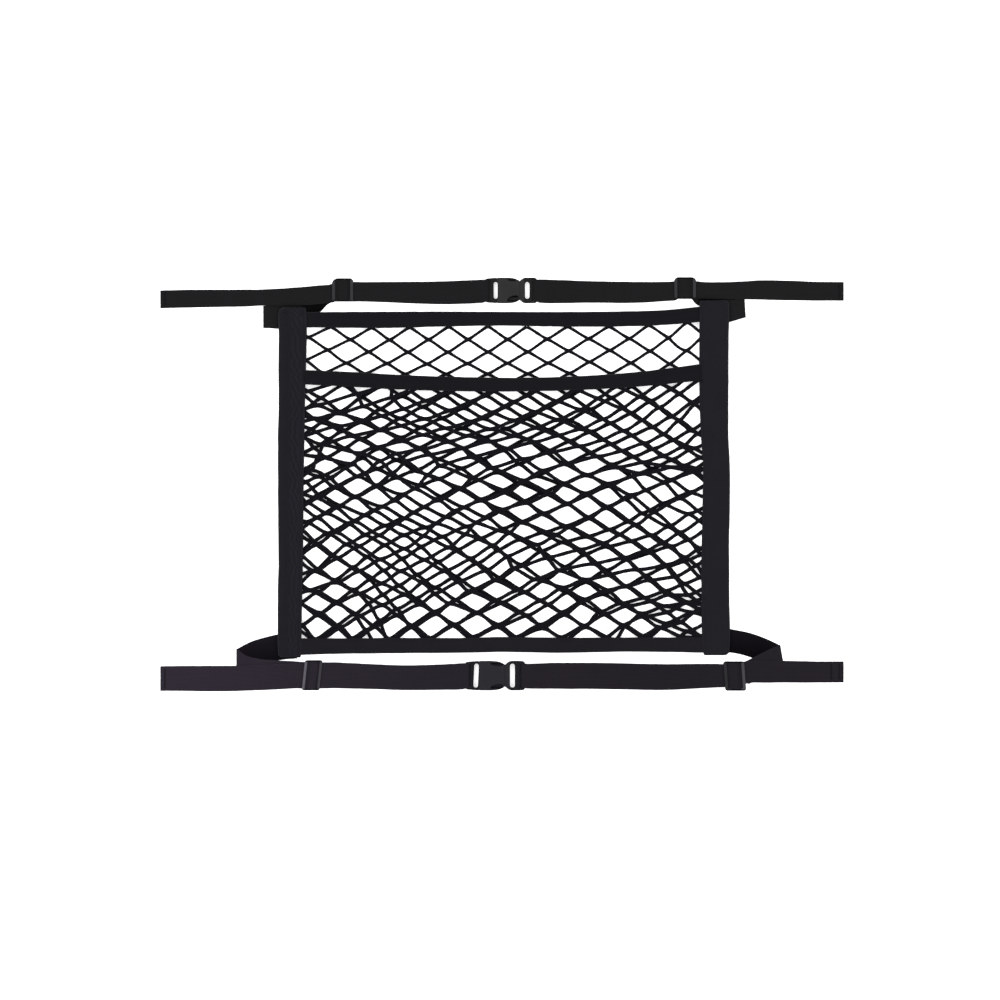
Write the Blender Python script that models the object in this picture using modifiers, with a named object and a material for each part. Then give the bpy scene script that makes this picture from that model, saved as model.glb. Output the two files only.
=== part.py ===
"""Car seat storage net: a framed elastic net with a slack net pocket, lying
face up and flat, with its four buckled webbing straps laid out beside it.

Axes: +X to the right, +Y to the top edge of the panel, +Z up from the surface
it lies on.  Sizes below are in millimetres and become metres in the meshes.
"""
import math
from collections import namedtuple

import bmesh
import bpy

MM = 0.001

# ---------------------------------------------------------------- main sizes
TAPE = 1.0              # binding tape and side band tape
WEB = 1.0               # strap webbing
LAYER = 1.4             # from one layer of webbing to the next, centre to centre
GAP = 0.3               # between neighbouring pieces
CORD = 3.2              # width of a net cord, as flattened by its own stretch
CORD_H = 1.2            # height of a net cord
PITCH_EVEN = 39.45 * 1.02   # one diamond, measured along the even rows
PITCH_ODD = 39.80 * 1.02    # and along the odd rows
EVEN_X0 = -214.9        # first node of the even rows, inside the left band
ODD_X0 = -194.8         # first node of the odd rows
COLUMNS = 11            # nodes in a row
BACK_Z = 2.05           # middle of the back net above the surface
FRONT_Z = 3.55          # middle of the pocket net where it is sewn down
FLOOR_Z = WEB / 2       # middle of a strap that lies on the surface
LIFT_TOP = 3.1          # the top corners lie on two layers of folded strap
LIFT_BOTTOM = 1.6       # the bottom corners lie on one layer
TALL = 11.0             # middle of the pocket net where the pocket stands open


def clamp(t):
    return max(0.0, min(1.0, t))


def smooth(a, b, x):
    """0 at a, 1 at b, with level ends."""
    t = clamp((x - a) / (b - a))
    return t * t * (3 - 2 * t)


def linear(table, x):
    """Read a short table of (x, value) pairs, straight between its rows."""
    if x <= table[0][0]:
        return table[0][1]
    for (x0, v0), (x1, v1) in zip(table, table[1:]):
        if x <= x1:
            return v0 + (v1 - v0) * (x - x0) / (x1 - x0)
    return table[-1][1]


def lift(x, y):
    """How far the panel stands off the surface: its corners ride on the
    straps that are folded behind them, and it sinks flat in between."""
    top = LIFT_TOP if y > 0 else LIFT_BOTTOM
    return top * smooth(80, 200, abs(x)) * smooth(50, 150, abs(y))


# ------------------------------------------------------------------- scene
for old in list(bpy.data.objects):
    bpy.data.objects.remove(old, do_unlink=True)

parts = bpy.data.collections.new("car_seat_storage_net")
cutters = bpy.data.collections.new("cutters")
bpy.context.scene.collection.children.link(parts)
bpy.context.scene.collection.children.link(cutters)


def material(name, colour, roughness):
    made = bpy.data.materials.new(name)
    made.use_nodes = True
    bsdf = made.node_tree.nodes["Principled BSDF"]
    bsdf.inputs["Base Color"].default_value = (*colour, 1.0)
    bsdf.inputs["Roughness"].default_value = roughness
    bsdf.inputs["Metallic"].default_value = 0.0
    return made


def add(name, mesh, colour, roughness, collection=None):
    thing = bpy.data.objects.new(name, mesh)
    (collection or parts).objects.link(thing)
    mesh.materials.append(material(name + "_finish", colour, roughness))
    return thing


TAPE_COLOUR = (0.014, 0.014, 0.017)
NET_COLOUR = (0.006, 0.006, 0.009)
WEB_UPPER = (0.013, 0.013, 0.013)
WEB_LOWER = (0.022, 0.020, 0.027)
PLASTIC = (0.030, 0.030, 0.032)


# ------------------------------------------------------- panel outline tables
# Side bands: height up the panel, outer edge, inner edge.
Band = namedtuple("Band", "y outer inner")
BAND_LEFT = [
    Band(180.0, -226.4, -200.4),
    Band(172.0, -227.6, -199.8),
    Band(150.0, -227.2, -199.6),
    Band(118.0, -227.6, -200.4),
    Band(85.0, -227.4, -201.4),
    Band(50.0, -228.2, -202.0),
    Band(5.0, -228.2, -202.8),
    Band(-40.0, -228.0, -203.2),
    Band(-80.0, -227.6, -203.6),
    Band(-105.0, -228.2, -204.2),
    Band(-140.0, -228.4, -204.8),
    Band(-160.0, -228.4, -205.0),
    Band(-176.8, -227.6, -205.4),
]
BAND_RIGHT = [
    Band(187.0, 231.0, 202.0),
    Band(170.0, 231.2, 201.8),
    Band(150.0, 230.8, 201.8),
    Band(118.0, 230.6, 201.6),
    Band(85.0, 230.6, 202.0),
    Band(50.0, 230.6, 203.4),
    Band(20.0, 232.0, 205.6),
    Band(-15.0, 232.2, 205.2),
    Band(-55.0, 231.4, 204.4),
    Band(-90.0, 231.4, 203.8),
    Band(-125.0, 231.6, 204.0),
    Band(-150.0, 232.2, 204.4),
    Band(-174.6, 231.2, 206.0),
]

# Hems: place along the panel, lower edge, upper edge.
Hem = namedtuple("Hem", "x low high")
TOP_HEM = [
    Hem(-200.0, 160.3, 174.9), Hem(-120.0, 159.7, 175.4),
    Hem(-60.0, 161.2, 175.6), Hem(0.0, 162.1, 175.3),
    Hem(60.0, 161.1, 175.2), Hem(120.0, 161.3, 175.7),
    Hem(165.0, 162.7, 177.0), Hem(202.0, 165.8, 180.6),
]
POCKET_HEM = [
    Hem(-200.0, 102.0, 115.8), Hem(-150.0, 99.4, 113.6),
    Hem(-100.0, 96.6, 110.6), Hem(-40.0, 95.0, 108.6),
    Hem(20.0, 94.9, 107.9), Hem(80.0, 96.4, 109.6),
    Hem(140.0, 99.8, 114.0), Hem(202.0, 106.0, 121.9),
]
BOTTOM_HEM = [
    Hem(-204.6, -174.0, -157.9), Hem(-175.0, -173.0, -158.0),
    Hem(-110.0, -172.3, -157.6), Hem(-40.0, -171.8, -157.6),
    Hem(0.0, -171.0, -156.6), Hem(60.0, -171.9, -157.3),
    Hem(130.0, -170.7, -157.1), Hem(204.4, -171.6, -157.0),
]

# How high the pocket's mouth stands: place along it, middle of the tape.
MOUTH = [(-199.5, 4.85), (-174.6, 5.4), (-134.4, 9.2), (-94.1, TALL),
         (107.0, TALL), (147.3, 9.2), (187.5, 5.4), (201.5, 4.95)]
# The same for the net below the mouth, which is sewn down in the side bands.
BELLY = [(-197.0, FRONT_Z), (-174.6, 5.4), (-134.4, 9.2), (-94.1, TALL),
         (107.0, TALL), (147.3, 9.2), (187.5, 4.2), (202.0, FRONT_Z)]


def even_x(i):
    return EVEN_X0 + PITCH_EVEN * i


def odd_x(i):
    return ODD_X0 + PITCH_ODD * i


def hem_edge(table, x, column):
    return linear([(row.x, getattr(row, column)) for row in table], x)


def band_inner(table, y):
    return linear(sorted((row.y, row.inner) for row in table), y)


# ------------------------------------------------------------ folded bindings
def folded_tape(name, stations, half, colour):
    """Tape folded once over an edge.  A station is (place, fold, open_edge,
    middle height); stations run along the tape and the fold is its outer edge.
    place is (axis, value): the axis the tape runs along."""
    bm = bmesh.new()
    rings = []
    for axis, s, fold, rim, z in stations:
        way = 1 if fold > rim else -1
        turn = fold - way * (TAPE / 2 + half)
        section = [(rim, z - half), (turn, z - half)]
        section += [(turn + way * half * math.sin(a), z - half * math.cos(a))
                    for a in (math.pi / 3, 2 * math.pi / 3)]
        section += [(turn, z + half), (rim, z + half)]
        ring = []
        for across, up in section:
            x, y = (s, across) if axis == "x" else (across, s)
            ring.append(bm.verts.new((x * MM, y * MM, (up + lift(x, y)) * MM)))
        rings.append(ring)
    for a, b in zip(rings, rings[1:]):
        for k in range(len(a) - 1):
            bm.faces.new((a[k], a[k + 1], b[k + 1], b[k]))
    mesh = bpy.data.meshes.new(name)
    bm.to_mesh(mesh)
    bm.free()
    thing = add(name, mesh, colour, 0.85)
    solid = thing.modifiers.new("tape", 'SOLIDIFY')
    solid.thickness = TAPE * MM
    solid.offset = 0.0
    solid.use_even_offset = True
    return thing


BOTH_NETS = (FRONT_Z + BACK_Z) / 2            # middle of a fold over two nets
BOTH_HALF = (FRONT_Z - BACK_Z) / 2 + CORD_H / 2 + 0.45 + TAPE / 2
ONE_HALF = CORD_H / 2 + 0.45 + TAPE / 2       # the same over one net

for side, table in (("left", BAND_LEFT), ("right", BAND_RIGHT)):
    folded_tape("side_band_" + side,
                [("y", row.y, row.outer, row.inner, BOTH_NETS) for row in table],
                BOTH_HALF, TAPE_COLOUR)


def hem_places(table):
    """A hem meets both bands, and has a station over each net node."""
    start = GAP + max(band_inner(BAND_LEFT, y) for y in
                      (table[0].low, table[0].high))
    end = -GAP + min(band_inner(BAND_RIGHT, y) for y in
                     (table[-1].low, table[-1].high))
    return [start] + [even_x(i) for i in range(1, COLUMNS)] + [end]


folded_tape("top_hem",
            [("x", x, hem_edge(TOP_HEM, x, "high"), hem_edge(TOP_HEM, x, "low"),
              BACK_Z) for x in hem_places(TOP_HEM)], ONE_HALF, TAPE_COLOUR)
folded_tape("pocket_hem",
            [("x", x, hem_edge(POCKET_HEM, x, "high"),
              hem_edge(POCKET_HEM, x, "low"), linear(MOUTH, x))
             for x in hem_places(POCKET_HEM)], ONE_HALF, TAPE_COLOUR)
folded_tape("bottom_hem",
            [("x", x, hem_edge(BOTTOM_HEM, x, "low"),
              hem_edge(BOTTOM_HEM, x, "high"), BOTH_NETS)
             for x in hem_places(BOTTOM_HEM)], BOTH_HALF, TAPE_COLOUR)


# ----------------------------------------------------------------------- nets
def net(name, rows, row_y, node_z, left_out=()):
    """A diamond net of cords.  Nodes of even and odd rows sit half a diamond
    apart; the first and last nodes of a row lie inside the side bands, and the
    top and bottom rows inside their hems.  A diamond left out, named by its top
    node, is one that the tape covers."""
    bm = bmesh.new()
    grid = {}
    heights = {}
    for r in range(rows + 1):
        for i in range(COLUMNS):
            x = even_x(i) if r % 2 == 0 else odd_x(i)
            y = row_y(r, x)
            grid[r, i] = (x, y)
            heights[r, i] = node_z(r, x, y)
    verts = {}

    def vert(r, i):
        if (r, i) not in verts:
            x, y = grid[r, i]
            verts[r, i] = bm.verts.new((x * MM, y * MM, 0.0))
        return verts[r, i]

    for r in range(rows - 1):
        for i in range(COLUMNS):
            if r % 2 == 0 and i >= 1 and (r, i) not in left_out:
                quad = ((r, i), (r + 1, i - 1), (r + 2, i), (r + 1, i))
            elif r % 2 == 1 and i < COLUMNS - 1:
                quad = ((r, i), (r + 1, i), (r + 2, i), (r + 1, i + 1))
            else:
                continue
            bm.faces.new([vert(*key) for key in quad])
    flat = bpy.data.meshes.new(name + "_flat")
    bm.to_mesh(flat)
    bm.free()
    guide = bpy.data.objects.new(name + "_guide", flat)
    parts.objects.link(guide)
    wire = guide.modifiers.new("cords", 'WIREFRAME')
    wire.thickness = CORD * MM
    wire.use_even_offset = True
    wire.use_relative_offset = False
    wire.use_boundary = True
    wire.use_replace = True
    view = bpy.context.evaluated_depsgraph_get()
    mesh = bpy.data.meshes.new_from_object(guide.evaluated_get(view))
    bpy.data.objects.remove(guide, do_unlink=True)
    mesh.name = name

    # Each point takes the height of the cord it belongs to, read between the
    # nodes at its two ends.
    def height(x, y):
        best = None
        for r in range(rows):
            for i in range(COLUMNS):
                if (r, i) not in verts_keys:
                    continue
                for j in ((i - 1, i) if r % 2 == 0 else (i, i + 1)):
                    if (r + 1, j) not in verts_keys:
                        continue
                    ax, ay = grid[r, i]
                    bx, by = grid[r + 1, j]
                    dx, dy = bx - ax, by - ay
                    t = clamp(((x - ax) * dx + (y - ay) * dy) / (dx * dx + dy * dy))
                    away = (ax + t * dx - x) ** 2 + (ay + t * dy - y) ** 2
                    if best is None or away < best[0]:
                        z = heights[r, i] + t * (heights[r + 1, j] - heights[r, i])
                        best = (away, z)
        return best[1]

    verts_keys = set(verts)
    for v in mesh.vertices:
        x, y = v.co.x / MM, v.co.y / MM
        v.co.z = v.co.z * CORD_H / CORD + (height(x, y) + lift(x, y)) * MM
    return add(name, mesh, NET_COLOUR, 0.7)


BACK_ROWS = 22          # 4 above the pocket's mouth and 18 behind the pocket
FRONT_ROWS = 18
IN_HEM = 2.2            # how far a net's last nodes go into a hem


def back_y(r, x):
    top = hem_edge(TOP_HEM, x, "low") + IN_HEM
    bottom = hem_edge(BOTTOM_HEM, x, "high") - IN_HEM
    mouth = 110.5 + 0.02 * abs(x) * (1 if x > 120 else 0)
    upper = [(0, top), (1, 148.2), (2, 135.8), (3, 123.6), (4, mouth)]
    if r <= 4:
        return linear(upper, r)
    return mouth + (bottom - mouth) * (r - 4) / (BACK_ROWS - 4)


def front_y(r, x):
    top = hem_edge(POCKET_HEM, x, "low") + IN_HEM
    bottom = hem_edge(BOTTOM_HEM, x, "high") - IN_HEM
    return top + (bottom - top) * r / FRONT_ROWS


def front_z(r, x, y):
    if r == 0:
        return linear(MOUTH, x)
    return FRONT_Z + (linear(BELLY, x) - FRONT_Z) * smooth(-150, -60, y)


net("back_net", BACK_ROWS, back_y, lambda r, x, y: BACK_Z)
net("front_net", FRONT_ROWS, front_y, front_z, left_out=((0, COLUMNS - 1),))


# --------------------------------------------------------------------- sliders
Slider = namedtuple("Slider", "name x y length width slot shift turn")
# length runs along the strap and width across it; shift is how far the slots
# sit off the middle, across; turn is in degrees.
SLIDERS = [
    Slider("slider_upper_left", -162.6, 198.0, 21.8, 23.8, 19.2, -0.8, 0.0),
    Slider("slider_upper_right", 186.8, 199.9, 22.4, 22.2, 17.0, -0.9, 0.0),
    Slider("slider_lower_left", -193.6, -195.1, 18.2, 30.8, 26.8, 0.0, -6.0),
    Slider("slider_lower_right", 237.4, -195.9, 21.4, 30.0, 25.8, 0.2, 4.0),
]
SLIDER_H = 4.5          # whole height
CENTRE_BAR_H = 1.2      # the middle bar is low
OUTER_BAR_Z = 2.75      # and the outer bars bridge over the webbing
RISE = 1.5              # how far the webbing climbs over the middle bar


def slider_bars(slider):
    """Half width of the middle bar, and how far out the slots end."""
    outer = 0.155 * slider.length
    middle = 0.125 * slider.length
    return middle, slider.length / 2 - outer


def box(name, low, high, collection):
    mesh = bpy.data.meshes.new(name)
    bm = bmesh.new()
    bmesh.ops.create_cube(bm, size=1.0)
    for v in bm.verts:
        v.co = [(low[k] + high[k]) / 2 * MM + v.co[k] * (high[k] - low[k]) * MM
                for k in range(3)]
    bm.to_mesh(mesh)
    bm.free()
    thing = bpy.data.objects.new(name, mesh)
    collection.objects.link(thing)
    return thing


def cut(thing, name, low, high, round_off=0.0):
    tool = box(name, low, high, cutters)
    if round_off:
        bevel = tool.modifiers.new("round", 'BEVEL')
        bevel.width = round_off * MM
        bevel.segments = 2
        bevel.limit_method = 'NONE'
    tool.parent = thing
    tool.hide_render = True
    tool.display_type = 'WIRE'
    boolean = thing.modifiers.new(name, 'BOOLEAN')
    boolean.operation = 'DIFFERENCE'
    boolean.object = tool
    boolean.solver = 'EXACT'
    return tool


for s in SLIDERS:
    body = box(s.name, (-s.length / 2, -s.width / 2, 0),
               (s.length / 2, s.width / 2, SLIDER_H), parts)
    body.data.materials.append(material(s.name + "_finish", PLASTIC, 0.45))
    edge = body.modifiers.new("edges", 'BEVEL')
    edge.width = 1.1 * MM
    edge.segments = 3
    edge.limit_method = 'NONE'
    middle, out = slider_bars(s)
    lower, upper = s.shift - s.slot / 2, s.shift + s.slot / 2
    cut(body, s.name + "_well", (-out, lower, CENTRE_BAR_H),
        (out, upper, SLIDER_H + 2))
    for way in (-1, 1):
        a, b = sorted((way * middle, way * out))
        cut(body, s.name + "_slot%d" % way, (a, lower, -2), (b, upper, 3))
        a, b = sorted((way * (out - 0.01), way * (s.length / 2 + 2)))
        cut(body, s.name + "_mouth%d" % way, (a, lower, -2),
            (b, upper, OUTER_BAR_Z))
    body.location = (s.x * MM, s.y * MM, 0)
    body.rotation_euler = (0, 0, math.radians(s.turn))


# --------------------------------------------------------------------- buckles
Buckle = namedtuple("Buckle", "name x y k thick bar_z wrap_slot open_slot "
                    "open_a open_b plug_a plug_b")
# x is the left end; k scales the 25 mm buckle; slots are lengths across; the
# open slots run from a to b along the socket and along the plug.
BUCKLES = [
    Buckle("buckle_upper", -17.0, 197.4, 0.864, 7.4, 3.7, 21.8, 17.2,
           8.6, 13.0, 40.2, 45.4),
    Buckle("buckle_lower", -37.4, -195.4, 1.0, 8.4, 4.2, 25.2, 24.4,
           9.2, 14.0, 45.4, 50.7),
]
WRAP_R = 2.1            # the webbing's middle turns round the bar at this radius
BAR_H = 2 * (WRAP_R - WEB / 2 - GAP) - 0.3
BAR_REACH = 0.8         # the bar's own half depth, inside the turn
# Half outlines in plan for the 25 mm size: along, half width.
SOCKET_EDGE = [(0.0, 12.9), (0.5, 14.2), (1.8, 15.0), (33.0, 15.0), (35.6, 14.7),
               (37.8, 13.7), (39.3, 12.2), (40.2, 11.0)]
PLUG_EDGE = [(40.6, 11.0), (41.8, 12.0), (43.6, 13.8), (45.6, 14.8), (47.4, 15.0),
             (59.0, 15.0), (60.3, 14.2), (60.8, 12.9)]
END_BAR = 1.7           # middle of the bar the webbing wraps, from the end
SHOULDER = 12.8         # where the socket grows to its full thickness
PLUG_SHOULDER = 47.3    # and the plug


def plate(name, outline, low, high, ease=0.9):
    """An outline in plan, closed by its mirror image, between two heights, its
    upper and lower edges eased."""
    bm = bmesh.new()
    first, last = outline[0][0], outline[-1][0]
    rings = []
    for z, inset in ((low, ease), (low + 0.3 * ease, 0.3 * ease), (low + ease, 0.0),
                     (high - ease, 0.0), (high - 0.3 * ease, 0.3 * ease),
                     (high, ease)):
        half = [(min(max(x, first + inset), last - inset), y - inset)
                for x, y in outline]
        whole = half + [(x, -y) for x, y in reversed(half)]
        rings.append([bm.verts.new((x * MM, y * MM, z * MM)) for x, y in whole])
    count = len(rings[0])
    for below, above in zip(rings, rings[1:]):
        for n in range(count):
            m = (n + 1) % count
            bm.faces.new((below[n], below[m], above[m], above[n]))
    bm.faces.new(rings[0][::-1])
    bm.faces.new(rings[-1])
    bmesh.ops.recalc_face_normals(bm, faces=bm.faces)
    mesh = bpy.data.meshes.new(name)
    bm.to_mesh(mesh)
    bm.free()
    return mesh


def join(thing, other, name):
    boolean = thing.modifiers.new(name, 'BOOLEAN')
    boolean.operation = 'UNION'
    boolean.object = other
    boolean.solver = 'EXACT'
    other.hide_render = True
    other.display_type = 'WIRE'
    other.parent = thing


for b in BUCKLES:
    k = b.k
    reach = WRAP_R + WEB / 2 + GAP          # free room round the wrapped bar
    frame_low, frame_high = b.bar_z - 0.30 * b.thick, b.bar_z + 0.30 * b.thick
    # Socket: the half the plug clicks into.
    end = k * END_BAR
    socket = add(b.name + "_socket",
                 plate(b.name + "_socket", [(x * k, y * k) for x, y in SOCKET_EDGE],
                       0, b.thick), PLASTIC, 0.4)
    tall = b.thick + 2
    cut(socket, b.name + "_s_top", (-2, -20, frame_high), (SHOULDER * k, 20, tall))
    cut(socket, b.name + "_s_under", (-2, -20, -2), (SHOULDER * k, 20, frame_low))
    cut(socket, b.name + "_s_wrap", (end + BAR_REACH, -b.wrap_slot / 2, -2),
        (end + reach, b.wrap_slot / 2, tall))
    cut(socket, b.name + "_s_over", (-2, -b.wrap_slot / 2, b.bar_z + BAR_H / 2),
        (end + reach - 0.01, b.wrap_slot / 2, tall))
    cut(socket, b.name + "_s_below", (-2, -b.wrap_slot / 2, -2),
        (end + reach - 0.01, b.wrap_slot / 2, b.bar_z - BAR_H / 2))
    cut(socket, b.name + "_s_open", (b.open_a, -b.open_slot / 2, -2),
        (b.open_b, b.open_slot / 2, tall))
    wall = 1.7
    room = 11.9 * k
    cut(socket, b.name + "_s_cavity", (17.2 * k, -room, wall),
        (42 * k, room, b.thick - wall))
    for way in (-1, 1):
        a, c = sorted((way * (room - 1), way * 17))
        cut(socket, b.name + "_s_window%d" % way, (27.5 * k, a, wall + 0.3),
            (36.0 * k, c, b.thick - wall - 0.3))
    socket.location = (b.x * MM, b.y * MM, 0)

    # Plug: base plate with its own bars, a guide tongue and two spring arms.
    length = 60.8 * k
    end = length - k * END_BAR
    plug = add(b.name + "_plug",
               plate(b.name + "_plug", [(x * k, y * k) for x, y in PLUG_EDGE],
                     0.6, b.thick - 0.6), PLASTIC, 0.4)
    arm_low, arm_high = wall + 0.4, b.thick - wall - 0.4
    tongue = box(b.name + "_tongue", (20.5 * k, -2.6 * k, arm_low),
                 (43 * k, 2.6 * k, arm_high), cutters)
    join(plug, tongue, "tongue")
    for way in (-1, 1):
        arm = [(42.5, 6.0), (42.5, 8.6), (36.5, 9.9), (35.5, 11.3), (29.0, 11.3),
               (22.5, 9.4), (22.5, 8.0), (28.5, 8.6), (36.0, 7.6)]
        mesh = bpy.data.meshes.new(b.name + "_arm%d" % way)
        bm = bmesh.new()
        face = bm.faces.new([bm.verts.new((x * k * MM, way * y * k * MM, arm_low * MM))
                             for x, y in arm])
        grown = bmesh.ops.extrude_face_region(bm, geom=[face])
        for item in grown["geom"]:
            if isinstance(item, bmesh.types.BMVert):
                item.co.z = arm_high * MM
        bmesh.ops.recalc_face_normals(bm, faces=bm.faces)
        bm.to_mesh(mesh)
        bm.free()
        piece = bpy.data.objects.new(b.name + "_arm%d" % way, mesh)
        cutters.objects.link(piece)
        join(plug, piece, "arm%d" % way)
    cut(plug, b.name + "_p_top", (PLUG_SHOULDER * k, -20, frame_high),
        (length + 2, 20, tall))
    cut(plug, b.name + "_p_under", (PLUG_SHOULDER * k, -20, -2),
        (length + 2, 20, frame_low))
    cut(plug, b.name + "_p_wrap", (end - reach, -b.wrap_slot / 2, -2),
        (end - BAR_REACH, b.wrap_slot / 2, tall))
    cut(plug, b.name + "_p_over", (end - reach + 0.01, -b.wrap_slot / 2,
                                   b.bar_z + BAR_H / 2),
        (length + 2, b.wrap_slot / 2, tall))
    cut(plug, b.name + "_p_below", (end - reach + 0.01, -b.wrap_slot / 2, -2),
        (length + 2, b.wrap_slot / 2, b.bar_z - BAR_H / 2))
    cut(plug, b.name + "_p_open", (b.plug_a, -b.open_slot / 2, -2),
        (b.plug_b, b.open_slot / 2, tall))
    plug.location = (b.x * MM, b.y * MM, 0)


# ---------------------------------------------------------------------- straps
# A row of a strap: place along it, its two edges, the height of its middle,
# and how far the upper edge runs ahead of the lower one.
Row = namedtuple("Row", "x high low z skew")


def rows(*items):
    return [Row(*item, 0.0) if len(item) == 4 else Row(*item) for item in items]


def slopes(xs, vs):
    """Slopes for a curve through the points that never overshoots them."""
    n = len(xs)
    d = [(vs[k + 1] - vs[k]) / (xs[k + 1] - xs[k]) for k in range(n - 1)]
    m = [d[0]] + [0.0] * (n - 2) + [d[-1]]
    for k in range(1, n - 1):
        if d[k - 1] * d[k] > 0:
            m[k] = 2 * d[k - 1] * d[k] / (d[k - 1] + d[k])
    return m


def run(table, steps=2):
    """One layer of webbing as a smooth run through the rows of its table."""
    xs = [row.x for row in table]
    out = []
    curves = [[row[c] for row in table] for c in range(1, 5)]
    ms = [slopes(xs, vs) for vs in curves]
    for k in range(len(xs) - 1):
        for j in range(steps):
            t = j / steps
            h = xs[k + 1] - xs[k]
            vals = []
            for vs, m in zip(curves, ms):
                vals.append((2 * t ** 3 - 3 * t ** 2 + 1) * vs[k]
                            + (t ** 3 - 2 * t ** 2 + t) * h * m[k]
                            + (3 * t ** 2 - 2 * t ** 3) * vs[k + 1]
                            + (t ** 3 - t ** 2) * h * m[k + 1])
            out.append(Row(xs[k] + t * h, *vals))
    out.append(table[-1])
    return out


def turn(a, b, way, count=5):
    """Half a turn from row a to row b, which lies over or under it; the
    webbing bulges to +X or -X."""
    half = (b.z - a.z) / 2
    out = []
    for k in range(1, count):
        angle = math.pi * k / count
        t = k / count
        out.append(Row(a.x + way * abs(half) * math.sin(angle),
                       a.high + (b.high - a.high) * t, a.low + (b.low - a.low) * t,
                       (a.z + b.z) / 2 - half * math.cos(angle),
                       a.skew + (b.skew - a.skew) * t))
    return out


def over_bar(slider, layer, way, edges):
    """Webbing that passes under a slider's outer bar, over its middle bar and
    under the other outer bar, towards +X or -X.  edges are its upper edge at
    the slider's left and right ends, and its lower edge."""
    left, right, low = edges
    middle, out = slider_bars(slider)
    base = FLOOR_Z + LAYER * layer
    skew = -math.tan(math.radians(slider.turn)) * (left - low)
    start, stop = middle - 0.3, out + 0.4
    result = []
    for u in (-1.0, -0.8, -0.62, -0.44, -0.24, 0.0, 0.24, 0.44, 0.62, 0.8, 1.0):
        reach = u * (slider.length / 2 + 0.8)
        t = clamp((abs(reach) - start) / (stop - start))
        up = 0.5 + 0.5 * math.cos(math.pi * t)
        drift = way * reach * math.tan(math.radians(slider.turn))
        high = left + (right - left) * (0.5 + way * u / 2) + drift
        result.append(Row(slider.x + way * reach, high, low + drift,
                          base + RISE * up, skew))
    return result


def strap(name, stations, colour):
    bm = bmesh.new()
    lines = []
    for row in stations:
        lines.append((
            bm.verts.new(((row.x + row.skew / 2) * MM, row.high * MM, row.z * MM)),
            bm.verts.new(((row.x - row.skew / 2) * MM, row.low * MM, row.z * MM))))
    for (a, b), (c, d) in zip(lines, lines[1:]):
        bm.faces.new((a, b, d, c))
    mesh = bpy.data.meshes.new(name)
    bm.to_mesh(mesh)
    bm.free()
    thing = add(name, mesh, colour, 0.8)
    solid = thing.modifiers.new("webbing", 'SOLIDIFY')
    solid.thickness = WEB * MM
    solid.offset = 0.0
    solid.use_even_offset = True
    return thing


def whole_strap(name, slider, slider_edges, sewn, fold, back, inner, buckle,
                buckle_side, tail, colour):
    """sewn: from under the band out to the fold; back: from the fold to the
    slider; inner: from the slider to the buckle; tail: from the slider to the
    free end.  fold is the way the webbing bulges there, in X."""
    towards = -fold                               # from the fold to the buckle
    half = buckle.wrap_slot / 2 - 0.3
    length = 60.8 * buckle.k
    bar_x = buckle.x + (buckle.k * END_BAR if buckle_side == "socket"
                        else length - buckle.k * END_BAR)
    hi, lo = buckle.y + half, buckle.y - half
    at_bar = [Row(bar_x, hi, lo, buckle.bar_z - WRAP_R, 0.0),
              Row(bar_x, hi, lo, buckle.bar_z + WRAP_R, 0.0)]
    near = Row(bar_x - towards * 4.0, hi, lo, at_bar[0].z, 0.0)
    under = over_bar(slider, 0, towards, slider_edges)
    above = over_bar(slider, 1, towards, slider_edges)
    stations = run(sewn)
    stations += turn(sewn[-1], back[0], fold)
    stations += run(back + [under[0]], 1) + under[1:-1]
    lower = [under[-1]] + inner + [near]
    stations += run(lower, 1) + [at_bar[0]]
    stations += turn(at_bar[0], at_bar[1], towards, 6) + [at_bar[1]]
    upper = [Row(r.x, r.high, r.low, r.z + LAYER, r.skew) for r in inner]
    upper = [near._replace(z=at_bar[1].z)] + upper[::-1] + [above[-1]]
    stations += run(upper, 1)
    stations += above[1:-1][::-1]
    stations += run([above[0]] + tail, 1)
    return strap(name, stations, colour)


F = FLOOR_Z
UP = FLOOR_Z + LAYER
slider = {s.name: s for s in SLIDERS}
buckle = {b.name: b for b in BUCKLES}

whole_strap(
    "strap_upper_left", slider["slider_upper_left"], (204.4, 206.4, 188.2),
    sewn=rows((-204.0, 182.0, 160.5, UP), (-226.0, 181.8, 159.0, UP),
              (-242.6, 181.4, 159.6, UP)),
    fold=-1,
    back=rows((-242.6, 181.4, 159.6, F), (-228.0, 184.0, 162.4, F),
              (-205.0, 188.6, 167.6, F), (-186.0, 196.6, 174.6, F),
              (-176.6, 203.4, 183.2, F)),
    inner=rows((-144.8, 205.6, 186.7, F), (-114.2, 205.8, 185.7, F),
               (-68.3, 206.2, 183.9, F), (-37.7, 207.3, 184.3, F)),
    buckle=buckle["buckle_upper"], buckle_side="socket",
    tail=rows((-177.0, 203.3, 186.0, UP + 0.1), (-186.0, 202.4, 184.4, UP + 0.8), (-206.0, 200.4, 182.4, 3.5),
              (-244.0, 198.0, 182.4, 3.5), (-262.0, 197.9, 181.5, 2.6),
              (-290.0, 197.9, 181.0, F), (-320.0, 197.8, 180.4, F),
              (-347.8, 197.1, 179.7, F)),
    colour=WEB_UPPER)

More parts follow.
